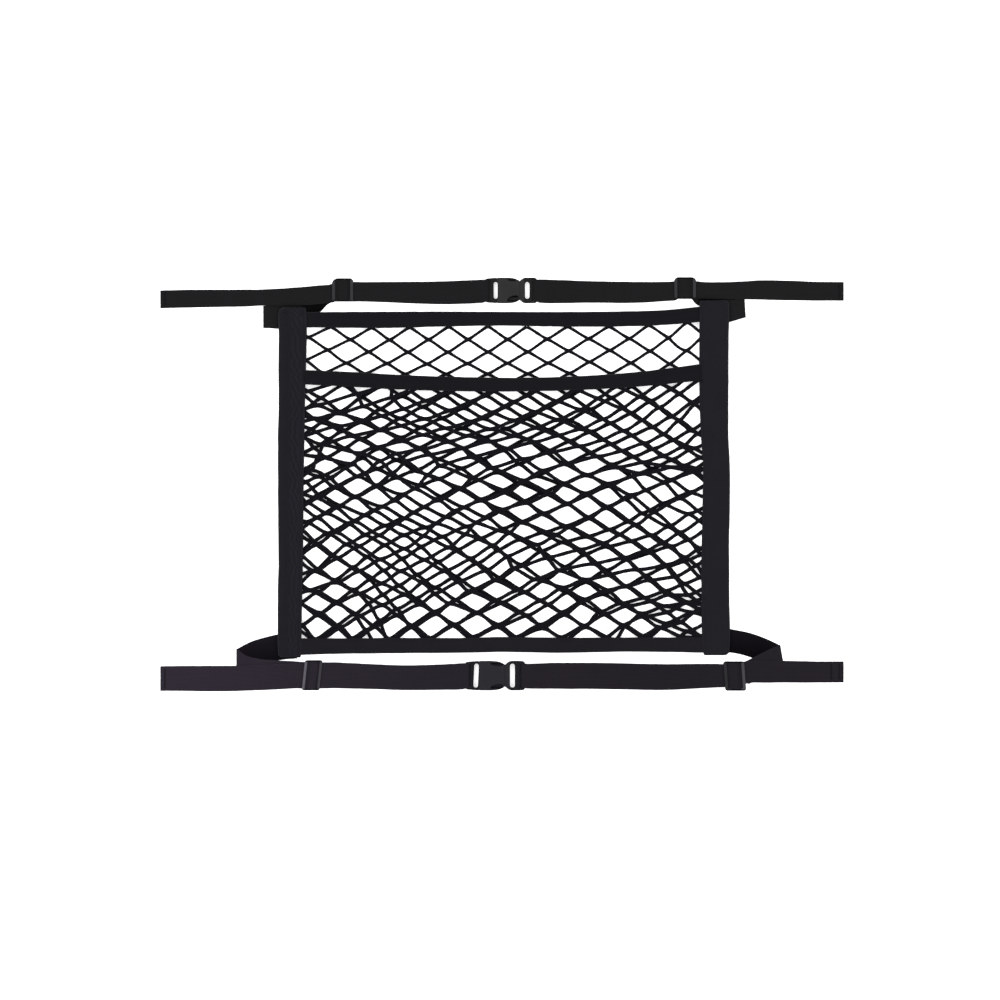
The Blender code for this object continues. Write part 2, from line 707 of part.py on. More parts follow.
whole_strap(
    "strap_upper_right", slider["slider_upper_right"], (206.7, 207.1, 190.9),
    sewn=rows((206.0, 186.6, 163.0, UP), (229.0, 187.2, 165.0, UP),
              (247.1, 188.4, 170.0, UP, -1.2)),
    fold=1,
    back=rows((247.1, 188.4, 170.0, F, -1.2), (232.0, 192.0, 174.2, F),
              (216.0, 197.0, 178.6, F), (203.6, 201.6, 182.0, F),
              (200.4, 203.6, 184.6, F)),
    inner=rows((166.3, 205.8, 187.0, F), (135.7, 205.8, 185.2, F),
               (90.0, 206.6, 185.4, F), (55.0, 207.8, 184.9, F)),
    buckle=buckle["buckle_upper"], buckle_side="plug",
    tail=rows((203.6, 205.8, 189.4, UP + 0.6), (216.0, 205.4, 189.0, 3.5),
              (248.0, 206.3, 188.8, 3.5), (264.0, 207.4, 188.5, 2.4),
              (290.0, 207.2, 187.9, F), (320.0, 206.0, 187.5, F),
              (347.8, 205.7, 187.5, F)),
    colour=WEB_UPPER)

whole_strap(
    "strap_lower_left", slider["slider_lower_left"], (-182.4, -182.4, -207.8),
    sewn=rows((-209.0, -153.9, -177.4, F), (-228.0, -153.8, -178.7, F),
              (-249.0, -158.8, -184.2, F), (-261.0, -163.5, -189.2, F),
              (-270.0, -168.6, -193.6, F)),
    fold=-1,
    back=rows((-270.0, -168.6, -193.6, UP), (-262.0, -174.6, -199.4, UP),
              (-247.0, -179.6, -204.8, UP), (-232.0, -181.3, -206.8, UP),
              (-212.0, -181.8, -207.6, F + 0.5)),
    inner=rows((-170.0, -182.4, -208.0, F), (-129.5, -184.3, -208.9, F),
               (-98.9, -185.4, -209.8, F), (-60.0, -184.4, -209.6, F)),
    buckle=buckle["buckle_lower"], buckle_side="socket",
    tail=rows((-212.0, -182.4, -208.2, F + 0.5 + LAYER),
              (-232.0, -184.2, -209.2, UP + LAYER),
              (-271.0, -185.8, -210.8, UP + LAYER), (-284.0, -185.9, -211.0, 2.2),
              (-302.0, -186.0, -211.1, F), (-325.0, -186.0, -210.8, F),
              (-347.8, -186.4, -210.7, F)),
    colour=WEB_LOWER)

whole_strap(
    "strap_lower_right", slider["slider_lower_right"], (-183.4, -183.4, -208.0),
    sewn=rows((210.0, -147.2, -170.8, F), (232.6, -148.4, -171.6, F),
              (251.0, -151.9, -175.6, F), (268.0, -157.6, -182.0, F),
              (285.0, -164.6, -188.8, F, -4.0)),
    fold=1,
    back=rows((285.0, -164.6, -188.8, UP, -4.0), (270.0, -170.4, -195.0, UP),
              (258.0, -176.6, -200.6, F + 0.9), (252.0, -179.6, -203.6, F + 0.3)),
    inner=rows((214.2, -183.8, -207.4, F), (166.3, -184.2, -209.7, F),
               (105.0, -183.0, -208.8, F), (52.0, -182.9, -208.5, F)),
    buckle=buckle["buckle_lower"], buckle_side="plug",
    tail=rows((252.0, -181.2, -204.0, F + 0.3 + LAYER),
              (258.0, -181.0, -203.0, F + 0.9 + LAYER),
              (270.0, -180.8, -202.3, UP + LAYER),
              (286.0, -180.7, -202.0, UP + LAYER), (300.0, -181.0, -202.2, 2.0),
              (318.0, -181.4, -202.3, F), (347.8, -181.4, -202.1, F)),
    colour=WEB_LOWER)
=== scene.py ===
"""Looks of the car seat storage net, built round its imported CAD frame.

The panel lies face up on a pale floor: +X to the right, +Y to its top edge and
+Z to the camera.  Sizes below are in millimetres and become metres in the
meshes.  Cloth is built as thin folded sheets, the two nets as knitted cords.
"""
import math
import random
from collections import namedtuple

import bpy
import numpy as np
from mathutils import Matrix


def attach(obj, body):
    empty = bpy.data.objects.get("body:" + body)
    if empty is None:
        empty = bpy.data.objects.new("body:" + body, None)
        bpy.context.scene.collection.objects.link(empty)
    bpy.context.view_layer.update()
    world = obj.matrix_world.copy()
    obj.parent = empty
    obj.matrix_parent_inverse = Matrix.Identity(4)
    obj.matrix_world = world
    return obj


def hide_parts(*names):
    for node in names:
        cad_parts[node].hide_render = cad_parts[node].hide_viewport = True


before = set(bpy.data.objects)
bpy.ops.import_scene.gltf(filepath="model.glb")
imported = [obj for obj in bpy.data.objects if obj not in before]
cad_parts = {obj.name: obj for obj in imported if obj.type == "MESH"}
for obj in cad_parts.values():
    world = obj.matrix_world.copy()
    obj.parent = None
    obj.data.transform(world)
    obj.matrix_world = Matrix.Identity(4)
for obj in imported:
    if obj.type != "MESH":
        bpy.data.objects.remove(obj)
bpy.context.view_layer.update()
MM = 0.001

# ---------------------------------------------------------------- main sizes
TAPE = 1.0              # thickness of binding tape
WEB = 1.0               # thickness of strap webbing
LAYER = 1.4             # from one layer of webbing to the next
SELVEDGE = 0.45         # how far a woven edge stands outside its table's line
CORD_H = 1.2            # height of a net cord
BACK_Z = 2.05           # middle of the back net above the surface
FRONT_Z = 3.55          # middle of the pocket net where it is sewn down
F = WEB / 2             # middle of a strap that lies on the surface
UP = F + LAYER          # and of the layer above it
TALL = 11.0             # middle of the pocket net where the pocket stands open


def clamp(t, a=0.0, b=1.0):
    return max(a, min(b, t))


def smooth(a, b, x):
    """0 at a, 1 at b, with level ends."""
    t = clamp((x - a) / (b - a))
    return t * t * (3 - 2 * t)


def linear(table, x):
    """Read a short table of (x, value) pairs, straight between its rows."""
    return float(np.interp(x, [a for a, _ in table], [b for _, b in table]))


def lift(x, y):
    """How far the panel stands off the floor on the straps folded behind it."""
    top = 3.1 if y > 0 else 1.6
    return top * smooth(80, 200, abs(x)) * smooth(50, 150, abs(y))


def ripple(seed, s, pitch=23.0):
    """A slow uneven wave of about -1 to 1 along s."""
    dice = random.Random(seed)
    total = 0.0
    for k in range(5):
        size = pitch * dice.uniform(0.45, 2.6)
        total += math.sin(2 * math.pi * (s / size + dice.random())) / 2.4
    return total


# ------------------------------------------------------------------ finishes
class Finish:
    """A material put together from nodes, sized in millimetres."""

    def __init__(self, name):
        self.made = bpy.data.materials.new(name)
        self.made.use_nodes = True
        self.nodes = self.made.node_tree.nodes
        self.links = self.made.node_tree.links
        self.shader = self.nodes["Principled BSDF"]

    def node(self, kind, **settings):
        made = self.nodes.new(kind)
        for key, value in settings.items():
            setattr(made, key, value)
        return made

    def feed(self, socket, value):
        if isinstance(value, bpy.types.NodeSocket):
            self.links.new(value, socket)
        else:
            socket.default_value = value

    def math(self, operation, *values):
        made = self.node("ShaderNodeMath", operation=operation)
        for socket, value in zip(made.inputs, values):
            self.feed(socket, value)
        return made.outputs[0]

    def place(self):
        """Distance across and along the cloth, in millimetres."""
        both = self.node("ShaderNodeSeparateXYZ")
        self.links.new(self.node("ShaderNodeUVMap", uv_map="cloth").outputs[0],
                       both.inputs[0])
        return both.outputs[0], both.outputs[1]

    def solid(self):
        """Place in the object, in metres."""
        return self.node("ShaderNodeTexCoord").outputs["Object"]

    def noise(self, scale, detail=3.0, rough=0.55, vector=None, stretch=None):
        made = self.node("ShaderNodeTexNoise")
        made.inputs["Scale"].default_value = scale
        made.inputs["Detail"].default_value = detail
        made.inputs["Roughness"].default_value = rough
        vector = vector or self.solid()
        if stretch:
            pull = self.node("ShaderNodeVectorMath", operation='MULTIPLY')
            self.links.new(vector, pull.inputs[0])
            pull.inputs[1].default_value = stretch
            vector = pull.outputs[0]
        self.links.new(vector, made.inputs["Vector"])
        return made.outputs["Fac"]

    def span(self, value, a, b, low, high):
        """value from a..b to low..high, held at both ends."""
        made = self.node("ShaderNodeMapRange", clamp=True)
        self.feed(made.inputs["Value"], value)
        for key, number in (("From Min", a), ("From Max", b), ("To Min", low),
                            ("To Max", high)):
            made.inputs[key].default_value = number
        return made.outputs["Result"]

    def shades(self, value, *stops):
        """Colours along a value: (place, (r, g, b)) stops."""
        made = self.node("ShaderNodeValToRGB")
        ramp = made.color_ramp
        while len(ramp.elements) < len(stops):
            ramp.elements.new(0.5)
        for element, (where, colour) in zip(ramp.elements, stops):
            element.position = where
            element.color = (*colour, 1.0)
        self.feed(made.inputs["Fac"], value)
        return made.outputs["Color"]

    def mix(self, share, a, b, way='MIX'):
        made = self.node("ShaderNodeMix", data_type='RGBA', blend_type=way)
        self.feed(made.inputs["Factor"], share)
        for socket, value in ((made.inputs["A"], a), (made.inputs["B"], b)):
            self.feed(socket, (*value, 1.0) if isinstance(value, tuple) else value)
        return made.outputs["Result"]

    def bumps(self, *levels, normal=None):
        """Bump nodes one after another: (height, distance in mm)."""
        for height, distance in levels:
            made = self.node("ShaderNodeBump")
            made.inputs["Distance"].default_value = distance * MM
            self.feed(made.inputs["Height"], height)
            if normal:
                self.links.new(normal, made.inputs["Normal"])
            normal = made.outputs["Normal"]
        self.links.new(normal, self.shader.inputs["Normal"])

    def rib(self, value, pitch):
        """Round ribs: 0 in each groove and 1 along each crest."""
        turn = self.math('MULTIPLY', value, math.pi / pitch)
        return self.math('ABSOLUTE', self.math('SINE', turn))


def tint(colour, by):
    return tuple(c * by for c in colour)


def cloth(name, colour, across, along, slant, depth, sheen, rough=0.86,
          gloss=0.06, dust=0.5, fade=()):
    """Woven or knitted cloth.  across and along are the pitches of its yarns;
    slant tips the picks one way in one column and the other way in the next.
    The last argument scales the colour along X, lighter towards -X and darkest a little
    right of the middle: pairs of metres and strength."""
    f = Finish(name)
    u, v = f.place()
    column = f.math('DIVIDE', u, across)
    part = f.math('FRACT', column)
    odd = f.math('MODULO', f.math('FLOOR', column), 2.0)
    way = f.math('MULTIPLY_ADD', odd, 2.0 * slant, -slant)
    tip = f.math('MULTIPLY', f.math('SUBTRACT', part, 0.5), way)
    step = f.math('MULTIPLY_ADD', odd, 0.5 * along, v)
    pick = f.rib(f.math('ADD', step, tip), along)
    warp = f.rib(u, across)
    yarn = f.math('MULTIPLY', f.math('POWER', warp, 0.6),
                  f.math('MULTIPLY_ADD', pick, 0.55, 0.45))
    slow = f.noise(38.0, 4.0, 0.6)
    fine = f.noise(2600.0, 2.0, 0.7)
    rim = f.node("ShaderNodeAttribute", attribute_name="rim").outputs["Fac"]
    worn = f.span(rim, 0.0, 0.35, 1.0, 0.0)
    worn = f.math('MULTIPLY', worn, f.span(f.noise(420.0, 3.0), 0.42, 0.62, 0.1, 1.0))
    base = f.shades(yarn, (0.0, tint(colour, 0.42)), (0.45, tint(colour, 0.86)),
                    (1.0, tint(colour, 1.16)))
    base = f.mix(f.span(slow, 0.3, 0.72, 0.0, 0.55), base, tint(colour, 0.72))
    base = f.mix(f.math('MULTIPLY', worn, 0.45), base, tint(colour, 2.1))
    lint = f.span(f.noise(900.0, 1.0, 0.5), 0.735, 0.78, 0.0, 0.5 * dust)
    base = f.mix(lint, base, tint(colour, 4.5))
    # painted shade: the mesh's dim value darkens colour, gloss and sheen where webbing is
    # folded back or lies between layers, in place of the shadow there; a little of it is
    # the darker back of the webbing
    dim = f.node("ShaderNodeAttribute", attribute_name="dim").outputs["Fac"]
    left = f.math('POWER', 0.155, dim)
    base = f.mix(1.0, base, left, 'MULTIPLY')
    if fade:
        both = f.node("ShaderNodeSeparateXYZ")
        f.links.new(f.solid(), both.inputs[0])
        start, stop = fade[0][0], fade[-1][0]
        x_tone = f.shades(f.span(both.outputs[0], start, stop, 0.0, 1.0),
                       *[((x - start) / (stop - start), (c, c, c)) for x, c in fade])
        base = f.mix(1.0, base, x_tone, 'MULTIPLY')
    f.feed(f.shader.inputs["Base Color"], base)
    f.feed(f.shader.inputs["Roughness"],
           f.span(f.math('MULTIPLY_ADD', fine, 0.35, f.math('MULTIPLY', yarn, 0.6)),
                  0.0, 1.0, rough + 0.08, rough - 0.10))
    # gloss and sheen take the same painted shade
    f.feed(f.shader.inputs["Specular IOR Level"], f.math('MULTIPLY', left, gloss))
    f.feed(f.shader.inputs["Sheen Weight"], f.math('MULTIPLY', left, sheen))
    f.shader.inputs["Sheen Roughness"].default_value = 0.42
    f.bumps((yarn, depth), (fine, 0.05), (slow, 0.25))
    return f.made


def thread(name, colour):
    """Sewing thread: two plies twisted together."""
    f = Finish(name)
    u, v = f.place()
    ply = f.rib(f.math('MULTIPLY_ADD', u, 0.9, v), 0.42)
    fuzz = f.noise(3000.0, 2.0, 0.7)
    base = f.shades(ply, (0.0, tint(colour, 0.5)), (1.0, tint(colour, 1.3)))
    base = f.mix(f.span(fuzz, 0.35, 0.7, 0.0, 0.5), base, tint(colour, 0.7))
    f.feed(f.shader.inputs["Base Color"], base)
    f.feed(f.shader.inputs["Roughness"], f.span(fuzz, 0.3, 0.7, 0.45, 0.65))
    f.shader.inputs["Specular IOR Level"].default_value = 0.05
    f.bumps((ply, 0.08), (fuzz, 0.03))
    return f.made


def plastic(name, colour, rough=0.42, gloss=0.35, bars=()):
    """Moulded acetal with a fine spark finish, with painted shade along its rounded
    edges.
    bars are colours by the painted light that the mesh gives each place: painted shade on
    the rails and a painted highlight on the bars."""
    f = Finish(name)
    grain = f.noise(2400.0, 3.0, 0.65)
    flow = f.noise(70.0, 3.0, 0.5, stretch=(0.35, 1.0, 1.0))
    scratch = f.noise(520.0, 2.0, 0.6, stretch=(0.08, 1.0, 1.0))
    soft = f.node("ShaderNodeBevel", samples=6)
    soft.inputs["Radius"].default_value = 0.75 * MM
    face = f.node("ShaderNodeNewGeometry").outputs["Normal"]
    bend = f.node("ShaderNodeVectorMath", operation='DOT_PRODUCT')
    f.links.new(soft.outputs[0], bend.inputs[0])
    f.links.new(face, bend.inputs[1])
    # painted shade: the edge mask darkens the rounded edges and takes gloss off them
    edge = f.span(bend.outputs["Value"], 0.80, 0.985, 1.0, 0.0)
    edge = f.math('MULTIPLY', edge, f.span(f.noise(300.0, 3.0), 0.35, 0.65, 0.7, 1.0))
    shine = f.span(edge, 0.0, 1.0, gloss, 0.35 * gloss)
    if bars:
        # painted light from the mesh's rim value: painted shade and less gloss on the
        # rails, a painted highlight on the bars
        painted_light = f.node("ShaderNodeAttribute", attribute_name="rim").outputs["Fac"]
        base = f.shades(painted_light, *bars)
        shine = f.math('MULTIPLY', shine, f.span(painted_light, 0.05, 0.4, 0.1, 1.0))
        base = f.mix(f.span(flow, 0.25, 0.75, 0.0, 0.2), base, tint(colour, 0.6))
    else:
        # painted shade: faces below the buckle's top are darkened and less glossy, in
        # place of the shade in its recesses and under its top
        both = f.node("ShaderNodeSeparateXYZ")
        f.links.new(f.solid(), both.inputs[0])
        top_face = f.span(both.outputs[2], 6.75 * MM, 7.3 * MM, 0.0, 1.0)
        base = f.shades(flow, (0.25, tint(colour, 0.86)), (0.75, tint(colour, 1.14)))
        base = f.mix(top_face, tint(colour, 0.74), base)
        shine = f.math('MULTIPLY', shine, f.span(top_face, 0.0, 1.0, 0.50, 1.0))
    base = f.mix(f.span(scratch, 0.62, 0.70, 0.0, 0.25), base, tint(colour, 1.5))
    # painted shade along the edges
    base = f.mix(f.math('MULTIPLY', edge, 0.75), base, tint(colour, 0.35))
    f.feed(f.shader.inputs["Base Color"], base)
    dull = f.math('ADD', f.span(flow, 0.3, 0.7, rough - 0.06, rough + 0.08),
                  f.span(grain, 0.3, 0.7, -0.04, 0.05))
    f.feed(f.shader.inputs["Roughness"], dull)
    f.feed(f.shader.inputs["Specular IOR Level"], shine)
    f.bumps((grain, 0.025), (scratch, 0.02), (flow, 0.10), normal=soft.outputs[0])
    return f.made


TAPE_BLACK = (0.0062, 0.0058, 0.0082)
HEM_BLACK = (0.0034, 0.0032, 0.0046)
BOTTOM_BLACK = (0.0056, 0.0050, 0.0068)
NET_BLACK = (0.0030, 0.0030, 0.0045)
UPPER_BLACK = (0.0047, 0.0045, 0.0050)
LOWER_BLACK = (0.0100, 0.0073, 0.0124)
HARD_BLACK = (0.0056, 0.0060, 0.0069)

tape_look = cloth("binding_tape", TAPE_BLACK, 0.62, 0.95, 0.0, 0.14, 0.05)
hem_look = cloth("hem_tape", HEM_BLACK, 0.62, 0.95, 0.0, 0.14, 0.05)
bottom_look = cloth("bottom_tape", BOTTOM_BLACK, 0.62, 0.95, 0.0, 0.14, 0.05)
net_look = cloth("knitted_cord", NET_BLACK, 0.80, 1.15, 0.9, 0.16, 0.03, rough=0.9,
                 gloss=0.04)
upper_look = cloth("webbing_20", UPPER_BLACK, 1.25, 1.5, 1.1, 0.20, 0.05, rough=0.8)
lower_look = cloth("webbing_25", LOWER_BLACK, 1.30, 1.6, 1.2, 0.22, 0.08, rough=0.72,
                   gloss=0.07, fade=((-0.35, 1.24), (-0.16, 0.84), (0.05, 0.56),
                                     (0.16, 0.47), (0.35, 0.60)))
thread_look = thread("sewing_thread", (0.0052, 0.0049, 0.0064))
dark_thread_look = thread("dark_thread", (0.0045, 0.0045, 0.0056))
# slider colours run from painted shade on the rails to a painted highlight on the bars
slider_look = plastic("slider_acetal", tint(HARD_BLACK, 0.9), 0.36, 0.16,
                      bars=((0.0, (0.0020, 0.0020, 0.0023)),
                            (0.5, (0.0077, 0.0064, 0.0088)),
                            (1.0, (0.0600, 0.0550, 0.0700))))
buckle_look = plastic("buckle_acetal", (0.0050, 0.0050, 0.0054), 0.42, 0.115)
buckle_look_25 = plastic("buckle_acetal_25", (0.0043, 0.0042, 0.0064), 0.44, 0.095)


# ----------------------------------------------------------- mesh from rings
def skin(name, verts, faces, uv, look, rim=None, dim=None):
    """A smooth mesh.  uv holds one pair for each corner of each face; rim and
    dim hold a value for each point, for the looks."""
    mesh = bpy.data.meshes.new(name)
    mesh.from_pydata((np.asarray(verts) * MM).tolist(), [], faces)
    layer = mesh.uv_layers.new(name="cloth")
    layer.data.foreach_set("uv", np.asarray(uv, np.float32).ravel())
    for key, values in (("rim", rim), ("dim", dim)):
        if values is not None:
            mark = mesh.attributes.new(key, 'FLOAT', 'POINT')
            mark.data.foreach_set("value", np.asarray(values, np.float32).ravel())
    mesh.polygons.foreach_set("use_smooth", [True] * len(mesh.polygons))
    mesh.materials.append(look)
    thing = bpy.data.objects.new(name, mesh)
    bpy.context.scene.collection.objects.link(thing)
    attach(thing, "root")
    return thing


def sweep_parts(sections, across, along, rim=None, first=0):
    """Quads between rings of points, with both ends closed.  across is the
    place of each point on the cloth, and along that of each ring."""
    n, m = sections.shape[:2]
    faces, uv = [], []
    for i in range(n - 1):
        row = across if across.ndim == 1 else across[i]
        for j in range(m):
            k = (j + 1) % m
            a, b = first + i * m + j, first + i * m + k
            faces.append((a, b, b + m, a + m))
            ua, ub = row[j], row[j + 1]
            uv += [(ua, along[i]), (ub, along[i]), (ub, along[i + 1]),
                   (ua, along[i + 1])]
    row0 = across if across.ndim == 1 else across[0]
    row1 = across if across.ndim == 1 else across[-1]
    faces.append(tuple(first + j for j in reversed(range(m))))
    uv += [(row0[j], along[0]) for j in reversed(range(m))]
    faces.append(tuple(first + (n - 1) * m + j for j in range(m)))
    uv += [(row1[j], along[-1]) for j in range(m)]
    return sections.reshape(-1, 3), faces, uv


# -------------------------------------------------------------------- seams
def seam(name, stitches, look, radius=0.27):
    """Separate stitches of sewing thread, each from one point to another and
    a little proud of the cloth in its middle."""
    verts, faces, uv = [], [], []
    steps = ((0.0, 0.35, -0.30), (0.10, 0.85, -0.02), (0.35, 1.0, 0.12),
             (0.65, 1.0, 0.12), (0.90, 0.85, -0.02), (1.0, 0.35, -0.30))
    sides = 6
    for p, q in stitches:
        p, q = np.array(p, float), np.array(q, float)
        run_ = q - p
        length = np.linalg.norm(run_)
        if length < 0.2:
            continue
        run_ /= length
        side = np.cross((0, 0, 1.0), run_)
        side /= np.linalg.norm(side)
        rise = np.cross(run_, side)
        rings = np.array([[p + run_ * t * length + rise * z
                           + radius * grow * (math.cos(a) * side + math.sin(a) * rise)
                           for a in np.arange(sides) * 2 * math.pi / sides]
                          for t, grow, z in steps])
        around = np.arange(sides + 1) * 2 * math.pi * radius / sides
        v, fc, c = sweep_parts(rings, around, np.array([s[0] * length for s in steps]),
                               first=len(verts))
        verts += v.tolist()
        faces += fc
        uv += c
    return skin(name, verts, faces, uv, look)


def line_seam(point, start, stop, seed, pitch=2.9, length=2.1):
    """Stitches in a line; point(s) gives the place at s millimetres."""
    dice = random.Random(seed)
    out = []
    s = start
    while s + length < stop:
        slip = dice.uniform(-0.12, 0.12)
        a, b = np.array(point(s)), np.array(point(s + length + slip))
        a[:2] += (dice.uniform(-0.08, 0.08), dice.uniform(-0.08, 0.08))
        out.append((a, b))
        s += pitch + dice.uniform(-0.1, 0.1)
    return out


def bar_tack(corner_a, corner_b, width, z, seed, count=11):
    """A close zigzag of thread between two points, width across."""
    dice = random.Random(seed)
    a, b = np.array(corner_a, float), np.array(corner_b, float)
    run_ = (b - a) / np.linalg.norm(b - a)
    side = np.array((-run_[1], run_[0]))
    out = []
    for k in range(count):
        for way in (-1, 1):
            t = (k + (0.5 if way > 0 else 0.0)) / count
            t2 = min(1.0, t + 0.5 / count)
            p = a + (b - a) * t + side * way * width / 2 * dice.uniform(0.88, 1.0)
            q = a + (b - a) * t2 - side * way * width / 2 * dice.uniform(0.88, 1.0)
            out.append(((*p, z(*p) if callable(z) else z),
                        (*q, z(*q) if callable(z) else z)))
    return out


# ------------------------------------------------------- panel outline tables
# Side bands: height up the panel, outer edge, inner edge.
Band = namedtuple("Band", "y outer inner")
BAND_LEFT = [
    Band(180.0, -226.4, -200.4), Band(172.0, -227.6, -199.8),
    Band(150.0, -227.2, -199.6), Band(118.0, -227.6, -200.4),
    Band(85.0, -227.4, -201.4), Band(50.0, -228.2, -202.0),
    Band(5.0, -228.2, -202.8), Band(-40.0, -228.0, -203.2),
    Band(-80.0, -227.6, -203.6), Band(-105.0, -228.2, -204.2),
    Band(-140.0, -228.4, -204.8), Band(-160.0, -228.4, -205.0),
    Band(-176.8, -227.6, -205.4),
]
BAND_RIGHT = [
    Band(187.0, 231.0, 202.0), Band(170.0, 231.2, 201.8),
    Band(150.0, 230.8, 201.8), Band(118.0, 230.6, 201.6),
    Band(85.0, 230.6, 202.0), Band(50.0, 230.6, 203.4),
    Band(20.0, 232.0, 205.6), Band(-15.0, 232.2, 205.2),
    Band(-55.0, 231.4, 204.4), Band(-90.0, 231.4, 203.8),
    Band(-125.0, 231.6, 204.0), Band(-150.0, 232.2, 204.4),
    Band(-174.6, 231.2, 206.0),
]

# Hems: place along the panel, lower edge, upper edge.
Hem = namedtuple("Hem", "x low high")
TOP_HEM = [
    Hem(-200.0, 160.3, 174.9), Hem(-120.0, 159.7, 175.4),
    Hem(-60.0, 161.2, 175.6), Hem(0.0, 162.1, 175.3),
    Hem(60.0, 161.1, 175.2), Hem(120.0, 161.3, 175.7),
    Hem(165.0, 162.7, 177.0), Hem(202.0, 165.8, 180.6),
]
POCKET_HEM = [
    Hem(-200.0, 102.0, 115.8), Hem(-150.0, 99.4, 113.6),
    Hem(-100.0, 96.6, 110.6), Hem(-40.0, 95.0, 108.6),
    Hem(20.0, 94.9, 107.9), Hem(80.0, 96.4, 109.6),
    Hem(140.0, 99.8, 114.0), Hem(202.0, 106.0, 121.9),
]
BOTTOM_HEM = [
    Hem(-204.6, -174.0, -157.9), Hem(-175.0, -173.0, -158.0),
    Hem(-110.0, -172.3, -157.6), Hem(-40.0, -171.8, -157.6),
    Hem(0.0, -171.0, -156.6), Hem(60.0, -171.9, -157.3),
    Hem(130.0, -170.7, -157.1), Hem(204.4, -171.6, -157.0),
]

# How high the pocket's mouth stands: place along it, middle of the tape.
MOUTH = [(-199.5, 4.85), (-174.6, 5.4), (-134.4, 9.2), (-94.1, TALL),
         (107.0, TALL), (147.3, 9.2), (187.5, 5.4), (201.5, 4.95)]
# The same for the net below the mouth, which is sewn down in the side bands.
BELLY = [(-197.0, FRONT_Z), (-174.6, 5.4), (-134.4, 9.2), (-94.1, TALL),
         (107.0, TALL), (147.3, 9.2), (187.5, 4.2), (202.0, FRONT_Z)]

BOTH_NETS = (FRONT_Z + BACK_Z) / 2            # middle of a fold over two nets
BOTH_HALF = (FRONT_Z - BACK_Z) / 2 + CORD_H / 2 + 0.45 + TAPE / 2
ONE_HALF = CORD_H / 2 + 0.45 + TAPE / 2       # the same over one net
SEAM_IN = 2.3                                 # from a tape's rim to its seam


def curve(table, place, column, at):
    """Read one column of a table as a smooth line."""
    xs = [getattr(row, place) for row in table]
    vs = [getattr(row, column) for row in table]
    if xs[0] > xs[-1]:
        xs, vs = xs[::-1], vs[::-1]
    k = max(1, min(len(xs) - 1, int(np.searchsorted(xs, at))))
    a, b = k - 1, k
    h = xs[b] - xs[a]
    t = clamp((at - xs[a]) / h)
    before = (vs[b] - vs[a - 1]) / (xs[b] - xs[a - 1]) if a else (vs[b] - vs[a]) / h
    after = ((vs[b + 1] - vs[a]) / (xs[b + 1] - xs[a]) if b + 1 < len(xs)
             else (vs[b] - vs[a]) / h)
    return ((2 * t ** 3 - 3 * t ** 2 + 1) * vs[a] + (t ** 3 - 2 * t ** 2 + t) * h * before
            + (3 * t ** 2 - 2 * t ** 3) * vs[b] + (t ** 3 - t ** 2) * h * after)


def hem_y(table, x, column):
    return curve(table, "x", column, x)


def band_x(table, y, column):
    return curve(table, "y", column, y)


def wall(d, w):
    """How far a folded tape's wall stands out, at d in from its rim: pulled
    down along the seam and at the rim, and a little full between."""
    return (-0.36 * math.exp(-((d - SEAM_IN) / 0.95) ** 2)
            - 0.12 * math.exp(-(d / 0.8) ** 2)
            + 0.10 * math.sin(math.pi * clamp(d / w)))


